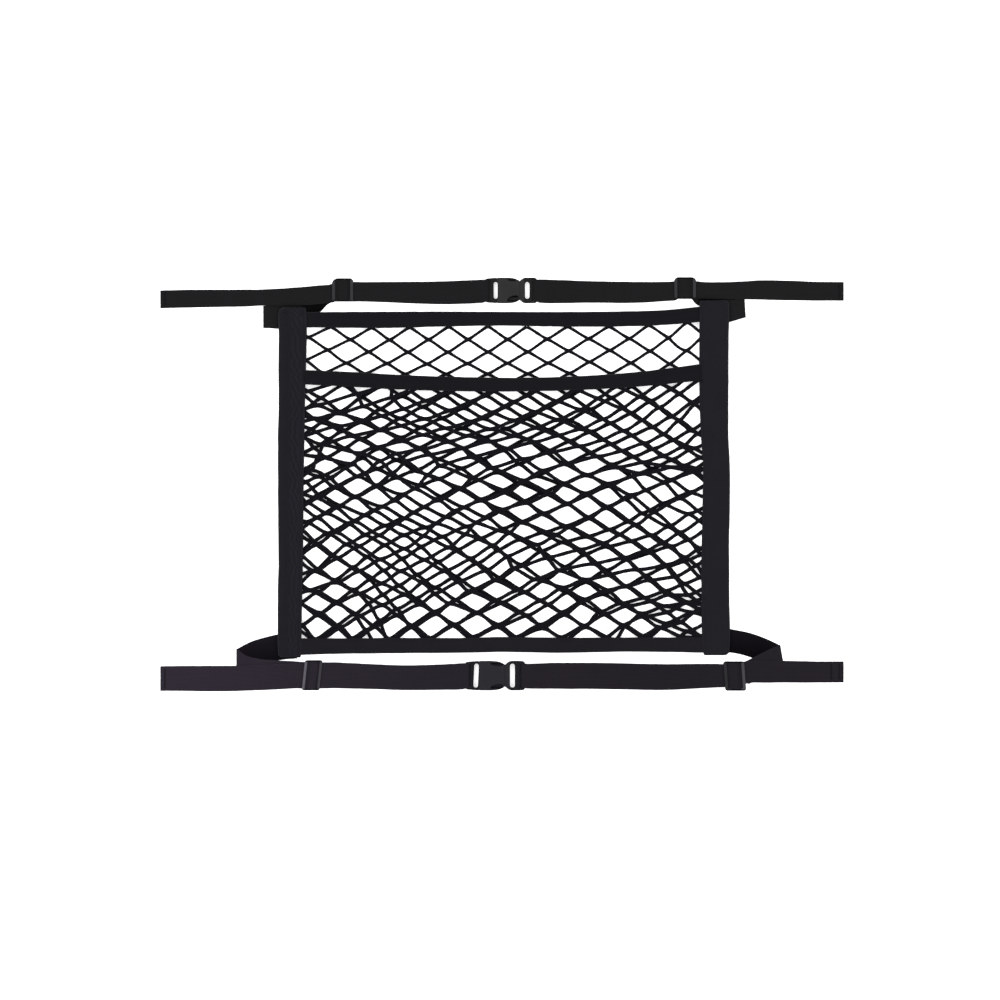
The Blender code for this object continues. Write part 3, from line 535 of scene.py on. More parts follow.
def folded(name, axis, start, stop, edges, middle, half, look, seed, soften=None):
    """Tape folded once over an edge, from start to stop.  edges(s) gives the
    fold and the rim, and middle(s) the height; axis is the one it runs along."""
    count = int(round((stop - start) / 2.4)) + 1
    rings, alongs = [], []
    across = None
    for s in np.linspace(start, stop, count):
        fold, rim = edges(s)
        way = 1 if fold > rim else -1
        fold += way * (0.4 + 0.07 * ripple(seed, s, 21.0))
        rim -= way * (0.35 + 0.09 * ripple(seed + 1, s, 17.0))
        if soften:
            a, b = soften(s)
            fold -= way * a
            rim += way * b
        w = abs(fold - rim) - TAPE / 2 - half
        pucker = 0.10 * math.sin(2 * math.pi * s / 5.8 + 2.0 * ripple(seed + 2, s))
        line = []
        ds = [0.0, 0.5, 1.2, 1.8, SEAM_IN, 2.9, 3.6, 4.8]
        ds = [d for d in ds if d < w * 0.8] + [w * 0.62, w * 0.82, w]
        ds = sorted(set(ds))
        for d in ds:
            line.append((d, -half - wall(d, w)))
        for a in np.linspace(0, math.pi, 9)[1:-1]:
            line.append((w + half * math.sin(a), -half * math.cos(a)))
        for d in reversed(ds):
            up = wall(d, w) + pucker * math.exp(-((d - SEAM_IN) / 1.6) ** 2)
            up += 0.16 * ripple(seed + 3, s * 0.9 + d * 2.4, 19.0) * clamp(d / 5)
            line.append((d, half + up))
        line = np.array(line)
        tangent = np.gradient(line, axis=0)
        tangent /= np.linalg.norm(tangent, axis=1)[:, None]
        normal = np.stack([tangent[:, 1], -tangent[:, 0]], 1)
        t2 = TAPE / 2
        outer = line + normal * t2
        inner = line - normal * t2
        end_a = [line[0] - tangent[0] * 0.22 + normal[0] * 0.2,
                 line[0] - tangent[0] * 0.22 - normal[0] * 0.2]
        end_b = [line[-1] + tangent[-1] * 0.22 - normal[-1] * 0.2,
                 line[-1] + tangent[-1] * 0.22 + normal[-1] * 0.2]
        loop = np.concatenate([[end_a[0]], outer, [end_b[1], end_b[0]], inner[::-1],
                               [end_a[1]]])
        walked = np.concatenate([[0], np.cumsum(np.linalg.norm(np.diff(line, axis=0),
                                                               axis=1))])
        u = np.concatenate([[-0.3], walked, [walked[-1] + 0.3] * 2, walked[::-1],
                            [-0.3], [-0.3]])
        plan = rim + way * loop[:, 0]
        z0 = middle(s)
        if axis == "x":                       # the hems' ends go into the bands
            z0 -= 0.3 * (1 - smooth(1.0, 5.0, min(s - start, stop - s)))
        ring = []
        for p, up in zip(plan, loop[:, 1]):
            x, y = (s, p) if axis == "x" else (p, s)
            ring.append((x, y, z0 + up + lift(x, y)))
        if way * (1 if axis == "x" else -1) > 0:
            ring, u = ring[::-1], u[::-1]
        rings.append(ring)
        alongs.append(s - start)
        across = [u] if across is None else across + [u]
    rings = np.array(rings)
    across = np.array(across)
    verts, faces, uv = sweep_parts(rings, across, np.array(alongs))
    m = rings.shape[1]
    full = across[:, :m]
    top = full.max(axis=1)[:, None]
    rim_mark = np.minimum(np.abs(full), np.abs(top - full)) / 3.0
    bend_mark = np.abs(full - top / 2) / 3.0 + 0.12
    rim_mark = np.minimum(rim_mark, bend_mark)
    return skin(name, verts, faces, uv, look, rim=rim_mark.clip(0, 1))


def round_ends(start, stop, outer, inner):
    """Tape's corners rounded off in plan: outer at its fold and inner at its
    rim, at one end or at both."""
    def softened(s):
        out = []
        for radius in (outer, inner):
            near = min(s - start[0] if start[1] else 1e9,
                       stop[0] - s if stop[1] else 1e9)
            near = clamp(near, 0.0, radius)
            out.append(radius - math.sqrt(max(0.0, radius ** 2 - (radius - near) ** 2)))
        return out
    return softened


for side, table, seed in (("left", BAND_LEFT, 11), ("right", BAND_RIGHT, 23)):
    y0, y1 = min(row.y for row in table), max(row.y for row in table)
    folded(
        "band_" + side, "y", y0, y1,
        lambda s, t=table: (band_x(t, s, "outer"), band_x(t, s, "inner")),
        lambda s: BOTH_NETS, BOTH_HALF, tape_look, seed,
        soften=round_ends((y0, True), (y1, True), 3.2, 0.8))
    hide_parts("side_band_" + side)

HEMS = {"top_hem": (TOP_HEM, "high", "low", ONE_HALF, lambda x: BACK_Z, 31),
        "pocket_hem": (POCKET_HEM, "high", "low", ONE_HALF,
                       lambda x: linear(MOUTH, x), 41),
        "bottom_hem": (BOTTOM_HEM, "low", "high", BOTH_HALF,
                       lambda x: BOTH_NETS, 53)}
for name, (table, fold, rim, half, middle, seed) in HEMS.items():
    ys = [table[0].low, table[0].high]
    x0 = min(band_x(BAND_LEFT, y, "inner") for y in ys) - 0.8
    ys = [table[-1].low, table[-1].high]
    x1 = max(band_x(BAND_RIGHT, y, "inner") for y in ys) + 0.8
    folded(
        name + "_tape", "x", x0, x1,
        lambda s, t=table, a=fold, b=rim: (hem_y(t, s, a), hem_y(t, s, b)),
        middle, half, bottom_look if name == "bottom_hem" else hem_look, seed)
    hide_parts(name)


def on_tape(axis, edges, middle, half, d):
    """Points along a tape's upper wall, d in from its rim."""
    def point(s):
        fold, rim = edges(s)
        way = 1 if fold > rim else -1
        w = abs(fold - rim) - TAPE / 2 - half
        p = rim + way * d
        x, y = (s, p) if axis == "x" else (p, s)
        return x, y, middle(s) + lift(x, y) + half + wall(d, w) + TAPE / 2 - 0.06
    return point


# Where the left band's end is tacked down to its strap.
BAND_TACKS = {"left": [(-221.1, 175.4), (-204.1, 173.7)], "right": []}
for side, table, seed in (("left", BAND_LEFT, 61), ("right", BAND_RIGHT, 67)):
    y0, y1 = min(row.y for row in table), max(row.y for row in table)
    edges = lambda s, t=table: (band_x(t, s, "outer"), band_x(t, s, "inner"))
    rows = line_seam(on_tape("y", edges, lambda s: BOTH_NETS, BOTH_HALF, SEAM_IN),
                     y0 + 2, y1 - 2, seed)
    for x, y in BAND_TACKS[side]:
        z = lambda x, y, t=table, e=edges: on_tape(
            "y", e, lambda s: BOTH_NETS, BOTH_HALF,
            abs(x - band_x(t, y, "inner")))(y)[2]
        rows = list(rows) + bar_tack((x, y + 1.7), (x, y - 1.7), 1.8, z, seed, 6)
    seam("seam_band_" + side, rows, thread_look)
for name, (table, fold, rim, half, middle, seed) in HEMS.items():
    edges = lambda s, t=table, a=fold, b=rim: (hem_y(t, s, a), hem_y(t, s, b))
    x0, x1 = table[0].x + 2.5, table[-1].x - 2.5
    rows = line_seam(on_tape("x", edges, middle, half, SEAM_IN), x0, x1, seed + 7)
    seam("seam_" + name, rows, thread_look)


# ------------------------------------------------------------------------ nets
# How each net lies.  A station is one row of its knots; side and up say how
# far the cords there are drawn from an even net, at even places across it.
Station = namedtuple("Station", "row side up")
Net = namedtuple("Net", "rows columns x0 pitch y0 drop stations")
BACK_NET = Net(32, 13, -221.86, 41.110, 154.02, 10.922, [
    Station(0.00, (3.1, 7.2, 4.3, 2.6, 0.6, 2.2, 1.3, -2.3, -0.3),
            (7.4, 5.3, 5.9, 6.5, 6.4, 6.5, 8.5, 13.4, -0.1)),
    Station(2.58, (1.4, 2.6, 2.2, 1.9, 1.5, 3.0, 2.9, -5.0, 2.3),
            (7.0, 2.4, 1.7, 1.6, 2.2, 3.4, 2.0, 2.6, 3.2)),
    Station(5.17, (-7.2, -2.3, -1.9, 0.5, 2.2, 5.1, 4.2, 6.5, -1.9),
            (-0.6, 1.4, 1.6, 2.4, 2.6, 1.6, -2.7, 0.4, 1.4)),
    Station(7.75, (1.8, -5.1, -4.0, -2.6, -0.0, 3.7, 4.8, 1.2, -0.9),
            (-2.4, -4.2, 0.1, -0.1, -0.3, -3.5, -9.6, -11.4, 2.3)),
    Station(10.33, (18.1, -0.6, -5.6, -2.4, 1.5, 5.0, 5.1, 8.4, -2.6),
            (4.9, 1.5, 2.3, 2.5, -0.3, -3.2, -9.8, -4.4, 2.3)),
    Station(12.92, (-4.5, -1.5, -12.0, -3.8, -11.0, 3.4, 3.5, 1.2, -0.3),
            (0.2, 6.1, 1.5, 3.6, -3.6, -2.5, -7.7, -12.2, 0.9)),
    Station(15.50, (10.6, -12.9, -3.0, -9.1, -2.3, -0.0, -6.4, 14.8, -2.1),
            (17.6, 6.5, 9.6, 4.5, 2.9, -2.3, -10.4, -6.0, -1.1)),
    Station(18.08, (0.1, 1.8, -0.7, 2.6, -3.3, 1.5, 6.6, -6.6, -0.7),
            (13.4, 11.8, 7.7, 9.0, 3.0, -3.4, -11.1, -16.2, -0.1)),
    Station(20.67, (8.5, 1.3, -1.9, -7.7, -6.5, -1.6, 0.8, -9.6, 1.5),
            (18.5, 13.1, 12.7, 8.3, 7.5, 2.0, -7.8, -20.6, 1.4)),
    Station(23.25, (10.6, 8.2, -7.3, -10.2, -1.7, -0.9, -2.6, 0.9, -3.2),
            (4.5, 12.4, 4.8, 1.7, -0.5, -4.3, -10.8, -19.4, 2.0)),
    Station(25.83, (16.2, 8.7, -8.7, -10.5, 2.3, -8.1, -3.7, 18.2, -2.2),
            (8.6, 9.5, 2.1, -0.8, -4.6, -1.2, -2.9, 0.3, -0.7)),
    Station(28.42, (11.8, 7.1, -19.7, -15.5, -11.2, 9.1, -0.0, -0.7, 2.7),
            (3.1, 5.5, -8.8, -6.5, -6.5, -8.4, -2.4, 6.7, -2.3)),
    Station(31.00, (1.7, 0.7, -2.3, 0.2, 0.7, -1.9, -2.5, -0.0, -0.2),
            (-0.3, 2.1, -1.1, -0.5, -4.2, -0.3, 1.5, -0.9, 1.3)),
])
FRONT_NET = Net(28, 13, -228.92, 42.357, 101.43, 10.796, [
    Station(0.00, (-3.2, 37.1, 5.3, 7.0, 7.3, 6.7, 8.9, 1.6, -0.1),
            (5.0, 3.3, -6.7, -6.5, -6.4, -2.9, 2.6, 6.7, -0.7)),
    Station(2.25, (-8.9, -1.8, 2.5, 6.5, 9.8, 13.1, 6.7, -4.4, -0.7),
            (0.9, -0.2, -3.0, -6.4, -5.5, -3.1, -2.0, 4.1, -0.7)),
    Station(4.50, (-18.2, 4.0, -0.9, 4.5, 10.7, 15.1, 11.5, 0.2, -0.8),
            (6.4, 10.7, 2.1, -0.9, 0.3, -3.5, -8.9, -4.5, 2.8)),
    Station(6.75, (-30.5, -18.3, 1.8, 0.7, 6.3, 10.7, 12.3, 6.3, -0.5),
            (6.2, 13.5, 9.3, 10.0, 7.2, -0.2, -8.3, -6.6, -0.9)),
    Station(9.00, (12.2, 14.2, -12.2, -24.9, -7.2, -1.2, 26.0, -4.6, 1.1),
            (6.6, 16.5, 20.0, 13.6, 10.3, 4.2, 8.5, 2.8, -1.2)),
    Station(11.25, (3.1, -1.6, -6.9, -1.3, 5.5, -4.7, 5.7, 27.4, -2.3),
            (2.2, 16.0, 12.5, 12.6, 7.6, 7.9, 1.7, -0.8, 0.5)),
    Station(13.50, (6.9, -5.4, -8.0, -11.6, -9.6, 6.1, 8.9, 6.3, -1.7),
            (19.5, 14.4, 9.5, 10.9, 9.5, 1.1, -12.7, -17.7, -1.1)),
    Station(15.75, (4.7, -3.0, 3.5, 6.5, 12.2, 16.2, 13.9, -7.8, -0.5),
            (12.6, 9.7, 5.7, 8.5, 8.8, -2.3, -13.2, -4.2, -0.2)),
    Station(18.00, (0.7, -2.0, -2.3, 2.8, -15.2, -2.2, -3.6, -6.3, 0.5),
            (11.2, 3.9, 4.7, 4.6, 7.0, 1.5, -9.2, -33.7, 1.4)),
    Station(20.25, (-17.8, -4.5, 2.4, -18.4, -7.8, -3.4, -1.2, -16.2, 2.4),
            (12.5, 3.5, 1.3, 4.4, 6.8, 7.8, -7.4, 0.5, -0.7)),
    Station(22.50, (4.9, 1.6, -7.8, -7.8, -7.8, -4.6, -11.7, -11.1, 0.8),
            (7.9, 1.8, 2.4, 3.8, 4.6, 2.3, 0.8, -12.1, 2.7)),
    Station(24.75, (0.5, -6.6, -11.4, -14.3, -9.9, -4.1, -8.0, -7.2, 0.4),
            (-8.7, -2.2, -3.5, 0.8, -0.1, 1.4, 2.1, 4.3, -0.5)),
    Station(27.00, (-0.1, 0.2, 2.1, 2.9, -1.4, -3.6, 1.4, 1.2, -6.3),
            (0.4, 0.7, 0.2, -1.4, 3.6, 4.4, -1.7, -0.5, -0.0)),
])
# How wide the cords lie, by height up the panel.
BACK_CORD = [(85.0, 3.85), (110.0, 3.12)]
FRONT_CORD = [(-150.0, 4.0), (80.0, 3.85)]
# How far knots stray from their smooth rows, by height.
STRAY = [(80.0, 0.7), (105.0, 0.3)]
# The slope of a cord at its knots against its mean slope, by height.
FLAT = [(80.0, 0.55), (105.0, 0.8)]
# Slack cords of the back net: the knot they start from, and how far they sag.
Slack = namedtuple("Slack", "x y sag")
SLACK = [Slack(170.4, 150.1, 2.6), Slack(-177.5, 140.5, 0.9)]
# How far a cord may bow up or down between two knots, by height.
BOW = [(80.0, 0.85), (105.0, 0.1)]


def knot_table(values, t):
    """Read a row of values as a smooth line."""
    m = len(values)
    k = max(0, min(int(math.floor(t)), m - 2))
    u = t - k
    p = values[k - 1] if k > 0 else 2 * values[0] - values[1]
    q = values[k + 2] if k + 2 < m else 2 * values[-1] - values[-2]
    a, b = values[k], values[k + 1]
    return 0.5 * ((2 * a) + (b - p) * u + (2 * p - 5 * a + 4 * b - q) * u * u
                  + (3 * a - p - 3 * b + q) * u ** 3)


def knots(net, seed):
    """Where the knots of a net lie, as rows of points."""
    dice = random.Random(seed)
    side = np.array([s.side for s in net.stations], float)
    up = np.array([s.up for s in net.stations], float)
    out = np.zeros((net.rows, net.columns, 2))
    for r in range(net.rows):
        t = r / (net.rows - 1) * (len(net.stations) - 1)
        side_row = knot_table(side, t)
        up_row = knot_table(up, t)
        for c in range(net.columns):
            place = c + (r % 2) / 2
            u = place / (net.columns - 0.5) * (side.shape[1] - 1)
            x = net.x0 + net.pitch * place + knot_table(side_row, u)
            y = net.y0 - net.drop * r + knot_table(up_row, u)
            stray = linear(STRAY, y)
            out[r, c] = (x + stray * dice.uniform(-1, 1),
                         y + 0.8 * stray * dice.uniform(-1, 1))
    return out


def strands(grid):
    """The cords of a net: each runs from knot to knot down and across."""
    rows, columns = grid.shape[:2]
    out = []
    for right in (True, False):
        starts = [(0, c) for c in range(columns)]
        starts += [(r, 0 if right else columns - 1) for r in range(1, rows)]
        for r, c in starts:
            if r and (r % 2 == 0) != right:
                continue
            line = []
            while 0 <= c < columns and r < rows:
                line.append(grid[r, c])
                c += (r % 2) if right else (r % 2) - 1
                r += 1
            if len(line) > 1:
                out.append(np.array(line))
    return out


def inside(x, y, top, deep=5.5):
    """Whether a point of a net shows, or lies a little way into its tapes."""
    return (band_x(BAND_LEFT, y, "inner") - deep < x
            < band_x(BAND_RIGHT, y, "inner") + deep
            and hem_y(BOTTOM_HEM, x, "high") - deep < y < hem_y(top, x, "low") + deep)


def cords(name, net, top, height, thick, look, seed):
    """One net, all of its cords in one piece.  A cord lies flatter where it
    crosses another at a knot, so that the cells are rounded."""
    verts, faces, uv, marks = [], [], [], []
    sides, steps = 10, 8
    angles = np.arange(sides) * 2 * math.pi / sides
    grid = knots(net, seed)
    dice = random.Random(seed + 5)
    for n, line in enumerate(strands(grid)):
        points, swell = [], []
        for k in range(len(line) - 1):
            a, b = line[k:k + 2]
            reach = np.linalg.norm(b - a)
            flat = linear(FLAT, a[1])
            bow = 4 * linear(BOW, a[1]) * dice.uniform(-1, 1)
            for s in SLACK:
                if b[0] > a[0] and math.hypot(a[0] - s.x, a[1] - s.y) < 6:
                    bow = -4 * s.sag
            for j in range(steps + (k == len(line) - 2)):
                t = j / steps
                bend = 3 * t ** 2 - 2 * t ** 3 + flat * (2 * t ** 3 - 3 * t ** 2 + t)
                points.append((a[0] + (b[0] - a[0]) * t,
                               a[1] + (b[1] - a[1]) * bend + bow * t * (1 - t)))
                swell.append(math.exp(-(min(t, 1 - t) * reach / 3.0) ** 2))
        keep = [inside(x, y, top) for x, y in points]
        start = None
        for k in range(len(points) + 1):
            if k < len(points) and keep[k]:
                start = k if start is None else start
                continue
            if start is not None and k - start >= 3:
                flat = np.array(points[start:k])
                fat = np.array(swell[start:k])
                z = np.array([height(x, y) + lift(x, y) for x, y in flat])
                path = np.column_stack([flat, z])
                walked = np.concatenate([[0], np.cumsum(np.linalg.norm(
                    np.diff(path, axis=0), axis=1))])
                tangent = np.gradient(path, axis=0)
                tangent /= np.linalg.norm(tangent, axis=1)[:, None]
                side = np.cross((0, 0, 1.0), tangent)
                side /= np.linalg.norm(side, axis=1)[:, None]
                rise = np.cross(tangent, side)
                uneven = np.array([1 + 0.06 * ripple(seed * 7 + n, s + 31 * n, 9.0)
                                   for s in walked])
                cord = np.array([linear(thick, y) for x, y in flat])
                wide = cord / 2 * uneven * (1 + 0.16 * fat)
                tall = CORD_H / 2 * (1 + 0.10 * fat)
                rings = (path[:, None, :]
                         + wide[:, None, None] * np.cos(angles)[None, :, None]
                         * side[:, None, :]
                         + tall[:, None, None] * np.sin(angles)[None, :, None]
                         * rise[:, None, :])
                around = np.arange(sides + 1) * 7.0 / sides
                v, fc, c = sweep_parts(rings, around, walked + 3.7 * n,
                                       first=len(verts))
                verts += v.tolist()
                faces += fc
                uv += c
                marks += [0.5] * len(v)
            start = None
    return skin(name, verts, faces, uv, look, rim=marks)


def front_height(x, y):
    flat = FRONT_Z + (linear(BELLY, x) - FRONT_Z) * smooth(-150, -60, y)
    edge = hem_y(POCKET_HEM, x, "low")
    t = smooth(edge - 14, edge, y)
    return flat + (linear(MOUTH, x) - flat) * t


nets = {
    "back_net": cords("net_back", BACK_NET, TOP_HEM, lambda x, y: BACK_Z,
                      BACK_CORD, net_look, 101),
    "front_net": cords("net_front", FRONT_NET, POCKET_HEM, front_height,
                       FRONT_CORD, net_look, 211),
}
for node, thing in nets.items():
    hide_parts(node)


# -------------------------------------------------------------------- hardware
Slider = namedtuple("Slider", "name x y length width slot shift turn corners "
                    "rubbed")
# corners are the radii of the frame, from its upper left one clockwise; the last
# field is the painted highlight on the left and the right bar: how pale each is painted.
SLIDERS = [
    Slider("slider_upper_left", -162.6, 198.0, 21.8, 23.8, 20.9, -0.25, 0.0,
           (6.0, 3.4, 2.0, 2.4), (0.39, 0.45)),
    Slider("slider_upper_right", 186.8, 199.9, 22.4, 22.2, 19.2, -0.3, 0.0,
           (4.4, 4.4, 2.0, 2.0), (0.36, 0.42)),
    Slider("slider_lower_left", -193.6, -195.1, 18.2, 30.8, 27.8, 0.0, -6.0,
           (2.2, 2.2, 2.2, 2.2), (0.92, 0.55)),
    Slider("slider_lower_right", 237.4, -195.9, 21.4, 30.0, 27.0, 0.0, 4.0,
           (2.2, 2.2, 2.2, 2.2), (0.28, 0.62)),
]
SLIDER_H = 4.5          # whole height
OUTER_BAR_Z = 2.75      # the outer bars bridge over the webbing
CENTRE_BAR_H = 1.2      # and the middle bar is low
RISE = 1.5              # how far the webbing climbs over the middle bar


def rounded_loop(x0, x1, y0, y1, radii, arc=7, straight=9):
    """A rectangle with round corners, clockwise from its upper left; also says
    how far each point is round a corner: 0 on a rail and 1 on a bar."""
    r = radii
    corners = [((x0 + r[0], y1 - r[0]), r[0], 180), ((x1 - r[1], y1 - r[1]), r[1], 90),
               ((x1 - r[2], y0 + r[2]), r[2], 0), ((x0 + r[3], y0 + r[3]), r[3], -90)]
    out, share = [], []
    for n, ((cx, cy), radius, start) in enumerate(corners):
        for k in range(arc):
            a = math.radians(start - 90 * k / (arc - 1))
            out.append((cx + radius * math.cos(a), cy + radius * math.sin(a)))
            part = k / (arc - 1)
            share.append(1 - part if n % 2 == 0 else part)
        (nx, ny), nr, ns = corners[(n + 1) % 4]
        a = math.radians(ns)
        p, q = np.array(out[-1]), np.array((nx + nr * math.cos(a), ny + nr * math.sin(a)))
        for k in range(1, straight):
            out.append(tuple(p + (q - p) * k / straight))
            share.append(float(n % 2))
    return np.array(out), np.array(share)


def slider_frame(s):
    """A moulded slider: two low side rails, two ribbed bars over the webbing
    and a middle bar under it, in one piece."""
    bar = 0.155 * s.length
    out_ = s.length / 2 - bar
    outer, share = rounded_loop(-s.length / 2, s.length / 2, -s.width / 2,
                                s.width / 2, s.corners)
    inner, _ = rounded_loop(-out_, out_, s.shift - s.slot / 2, s.shift + s.slot / 2,
                            (1.0, 1.0, 1.0, 1.0))
    lean = math.tan(math.radians(s.turn))   # its bars lie aslant
    spin = np.array([[1.0, 0.0], [-lean, 1.0]])
    rings, painted_light = [], []
    across = np.linspace(0, 1, 15)
    for p, q, b in zip(outer, inner, share):
        b = smooth(0, 1, b)
        # painted light: 0 on the rails for painted shade, up to the bar's painted
        # highlight on the bars
        painted_light.append(b * s.rubbed[int(p[0] > 0)])
        z0, z1 = OUTER_BAR_Z * b, SLIDER_H - 0.5 * (1 - b)
        power = 2.0 + 2.6 * b
        ring = []
        for way in (1, -1):
            for t in (across if way > 0 else across[::-1][1:-1]):
                bulge = (1 - abs(2 * t - 1) ** power) ** (1 / power)
                # the rails keep their feet square; only their tops are rounded
                if way < 0:
                    bulge = (1 - abs(2 * t - 1) ** 6) ** (1 / 6)
                z = (z0 + z1) / 2 + way * bulge * (z1 - z0) / 2
                if way > 0:
                    z -= 0.16 * b * abs(math.sin(3 * math.pi * t)) * (0.1 < t < 0.9)
                x, y = (q + (p - q) * (1 - t)) @ spin
                ring.append((s.x + x, s.y + y, z))
        rings.append(ring)
    rings.append(rings[0])
    rings = np.array(rings)
    around = np.linspace(0, 14, rings.shape[1] + 1)
    verts, faces, uv = sweep_parts(rings, around, np.arange(len(rings)) * 1.0)
    faces, uv = faces[:-2], uv[:-2 * rings.shape[1]]
    m = rings.shape[1]
    last = (len(rings) - 1) * m
    faces = [tuple(i - last if i >= last else i for i in f) for f in faces]
    verts = verts[:last]
    thing = skin(s.name + "_frame", verts, faces, uv, slider_look,
                 rim=np.repeat(painted_light, m))
    # middle bar
    half = 0.125 * s.length
    bars = []
    for y in np.linspace(s.shift - s.slot / 2 - 0.4, s.shift + s.slot / 2 + 0.4, 9):
        ring = []
        for a in np.arange(12) * math.pi / 6:
            x = half * math.copysign(abs(math.cos(a)) ** 0.5, math.cos(a))
            z = CENTRE_BAR_H / 2 * (1 + math.copysign(abs(math.sin(a)) ** 0.5,
                                                      math.sin(a)))
            px, py = np.array((x, y)) @ spin
            ring.append((s.x + px, s.y + py, z))
        bars.append(ring)
    bars = np.array(bars)
    v, fc, c = sweep_parts(bars, np.arange(13.0), np.arange(9.0))
    # the middle bar gets a little painted shade
    bar_ = skin(s.name + "_bar", v, fc, c, slider_look, rim=[0.2] * len(v))
    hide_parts(s.name)
    return thing


for s in SLIDERS:
    slider_frame(s)

Buckle = namedtuple("Buckle", "name x y k thick bar_z wrap_slot open_slot "
                    "open_a open_b plug_a plug_b window")
# x is the left end; k scales the 25 mm buckle; slots are lengths across; the
# open slots run from a to b; window is how deep the arm windows cut into the
# upper and the lower edge of the socket's face.
BUCKLES = [
    Buckle("buckle_upper", -17.0, 197.4, 0.864, 7.4, 3.7, 21.8, 17.2,
           8.3, 12.7, 40.3, 45.3, (3.2, 7.4)),
    Buckle("buckle_lower", -37.4, -195.4, 1.0, 8.4, 4.2, 25.2, 24.4,
           8.9, 13.9, 45.4, 50.7, (4.6, 5.8)),
]
WRAP_R = 2.1            # the webbing's middle turns round the end bar
BAR_H = 2 * (WRAP_R - WEB / 2 - 0.3) - 0.3
BAR_REACH = 0.8
END_BAR = 1.7           # middle of that bar, from the buckle's end
SHOULDER = 13.6         # where the socket grows to its full thickness
PLUG_SHOULDER = 46.4    # and the plug
SOCKET_EDGE = [(0.0, 12.7), (0.5, 13.4), (1.6, 13.9), (3.6, 14.2), (7.0, 14.5),
               (13.0, 14.9), (13.9, 14.3), (14.8, 15.0), (26.0, 15.0), (30.0, 14.8),
               (33.0, 14.4), (35.6, 13.7), (37.8, 12.8), (39.6, 11.6), (40.4, 11.0)]
PLUG_EDGE = [(40.37, 11.0), (41.0, 11.4), (42.4, 12.7), (43.8, 13.9), (45.2, 14.6),
             (47.0, 15.0), (55.0, 15.0), (58.6, 14.8), (59.8, 14.3), (60.5, 13.6),
             (60.8, 12.6)]


def long_hole(a, b, length, lean=0.0, count=9):
    """Outline of a slot with round ends, from a to b along x; lean moves its
    lower end towards -x."""
    r = (b - a) / 2
    mid, reach = (a + b) / 2, length / 2 - r
    turn_ = np.linspace(0, math.pi, count)
    return ([(mid + r * math.cos(t), reach + r * math.sin(t)) for t in turn_]
            + [(mid - lean - r * math.cos(t), -reach - r * math.sin(t))
               for t in turn_])


def plate(name, outline, low_, high_, ease=1.3):
    """An outline in plan, closed by its mirror image, between two heights, its
    long edges rounded above and below."""
    steps = [math.radians(a) for a in (0, 22, 45, 68, 90)]
    levels = [(low_ + ease * (1 - math.sin(a)), ease * (1 - math.cos(a)))
              for a in reversed(steps)]
    levels += [(high_ - ease * (1 - math.sin(a)), ease * (1 - math.cos(a)))
               for a in steps]
    first, last = outline[0][0], outline[-1][0]
    rings = []
    for z, inset in levels:
        near = min(inset, 0.02 * ease)
        half = [(clamp(x, first + near, last - near), y - inset) for x, y in outline]
        whole = half + [(x, -y) for x, y in reversed(half)]
        rings.append([(x, y, z) for x, y in whole])
    rings = np.array(rings)
    verts, faces, _ = sweep_parts(rings, np.arange(rings.shape[1] + 1.0),
                                  np.arange(len(rings) * 1.0))
    mesh = bpy.data.meshes.new(name)
    mesh.from_pydata((verts * MM).tolist(), [], faces)
    return mesh


def block(name, low_, high_):
    mesh = bpy.data.meshes.new(name)
    x0, y0, z0 = (c * MM for c in low_)
    x1, y1, z1 = (c * MM for c in high_)
    mesh.from_pydata([(x0, y0, z0), (x1, y0, z0), (x1, y1, z0), (x0, y1, z0),
                      (x0, y0, z1), (x1, y0, z1), (x1, y1, z1), (x0, y1, z1)], [],
                     [(3, 2, 1, 0), (4, 5, 6, 7), (0, 1, 5, 4), (1, 2, 6, 5),
                      (2, 3, 7, 6), (3, 0, 4, 7)])
    return mesh


def prism(name, outline, low_, high_):
    """A plan outline between two heights."""
    mesh = bpy.data.meshes.new(name)
    n = len(outline)
    verts = [(x * MM, y * MM, z * MM) for z in (low_, high_) for x, y in outline]
    faces = [tuple(reversed(range(n))), tuple(range(n, 2 * n))]
    faces += [(i, (i + 1) % n, n + (i + 1) % n, n + i) for i in range(n)]
    mesh.from_pydata(verts, [], faces)
    area2 = sum(outline[i][0] * outline[(i + 1) % n][1]
                - outline[(i + 1) % n][0] * outline[i][1] for i in range(n))
    if area2 < 0:
        mesh.flip_normals()
    return mesh


def carved(name, base, joins, cuts, x, y, look):
    """The base with other solids joined to it and cut from it, in one mesh."""
    thing = bpy.data.objects.new(name, base)
    bpy.context.scene.collection.objects.link(thing)
    tools = []
    for way, meshes in (('UNION', joins), ('DIFFERENCE', cuts)):
        for n, mesh in enumerate(meshes):
            tool = bpy.data.objects.new(name + way[:3] + str(n), mesh)
            bpy.context.scene.collection.objects.link(tool)
            tools.append(tool)
            step = thing.modifiers.new(way + str(n), 'BOOLEAN')
            step.operation = way
            step.solver = 'EXACT'
            step.object = tool
    rounding = thing.modifiers.new("edges", 'BEVEL')
    rounding.width = 0.16 * MM
    rounding.segments = 2
    rounding.limit_method = 'ANGLE'
    rounding.angle_limit = math.radians(50)
    bpy.context.view_layer.update()
    view = bpy.context.evaluated_depsgraph_get()
    mesh = bpy.data.meshes.new_from_object(thing.evaluated_get(view))
    for tool in tools:
        bpy.data.objects.remove(tool)
    bpy.data.objects.remove(thing)
    mesh.name = name
    mesh.polygons.foreach_set("use_smooth", [True] * len(mesh.polygons))
    mesh.set_sharp_from_angle(angle=math.radians(38))
    mesh.materials.clear()
    mesh.materials.append(look)
    made = bpy.data.objects.new(name, mesh)
    made.location = (x * MM, y * MM, 0)
    bpy.context.scene.collection.objects.link(made)
    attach(made, "root")
    return made


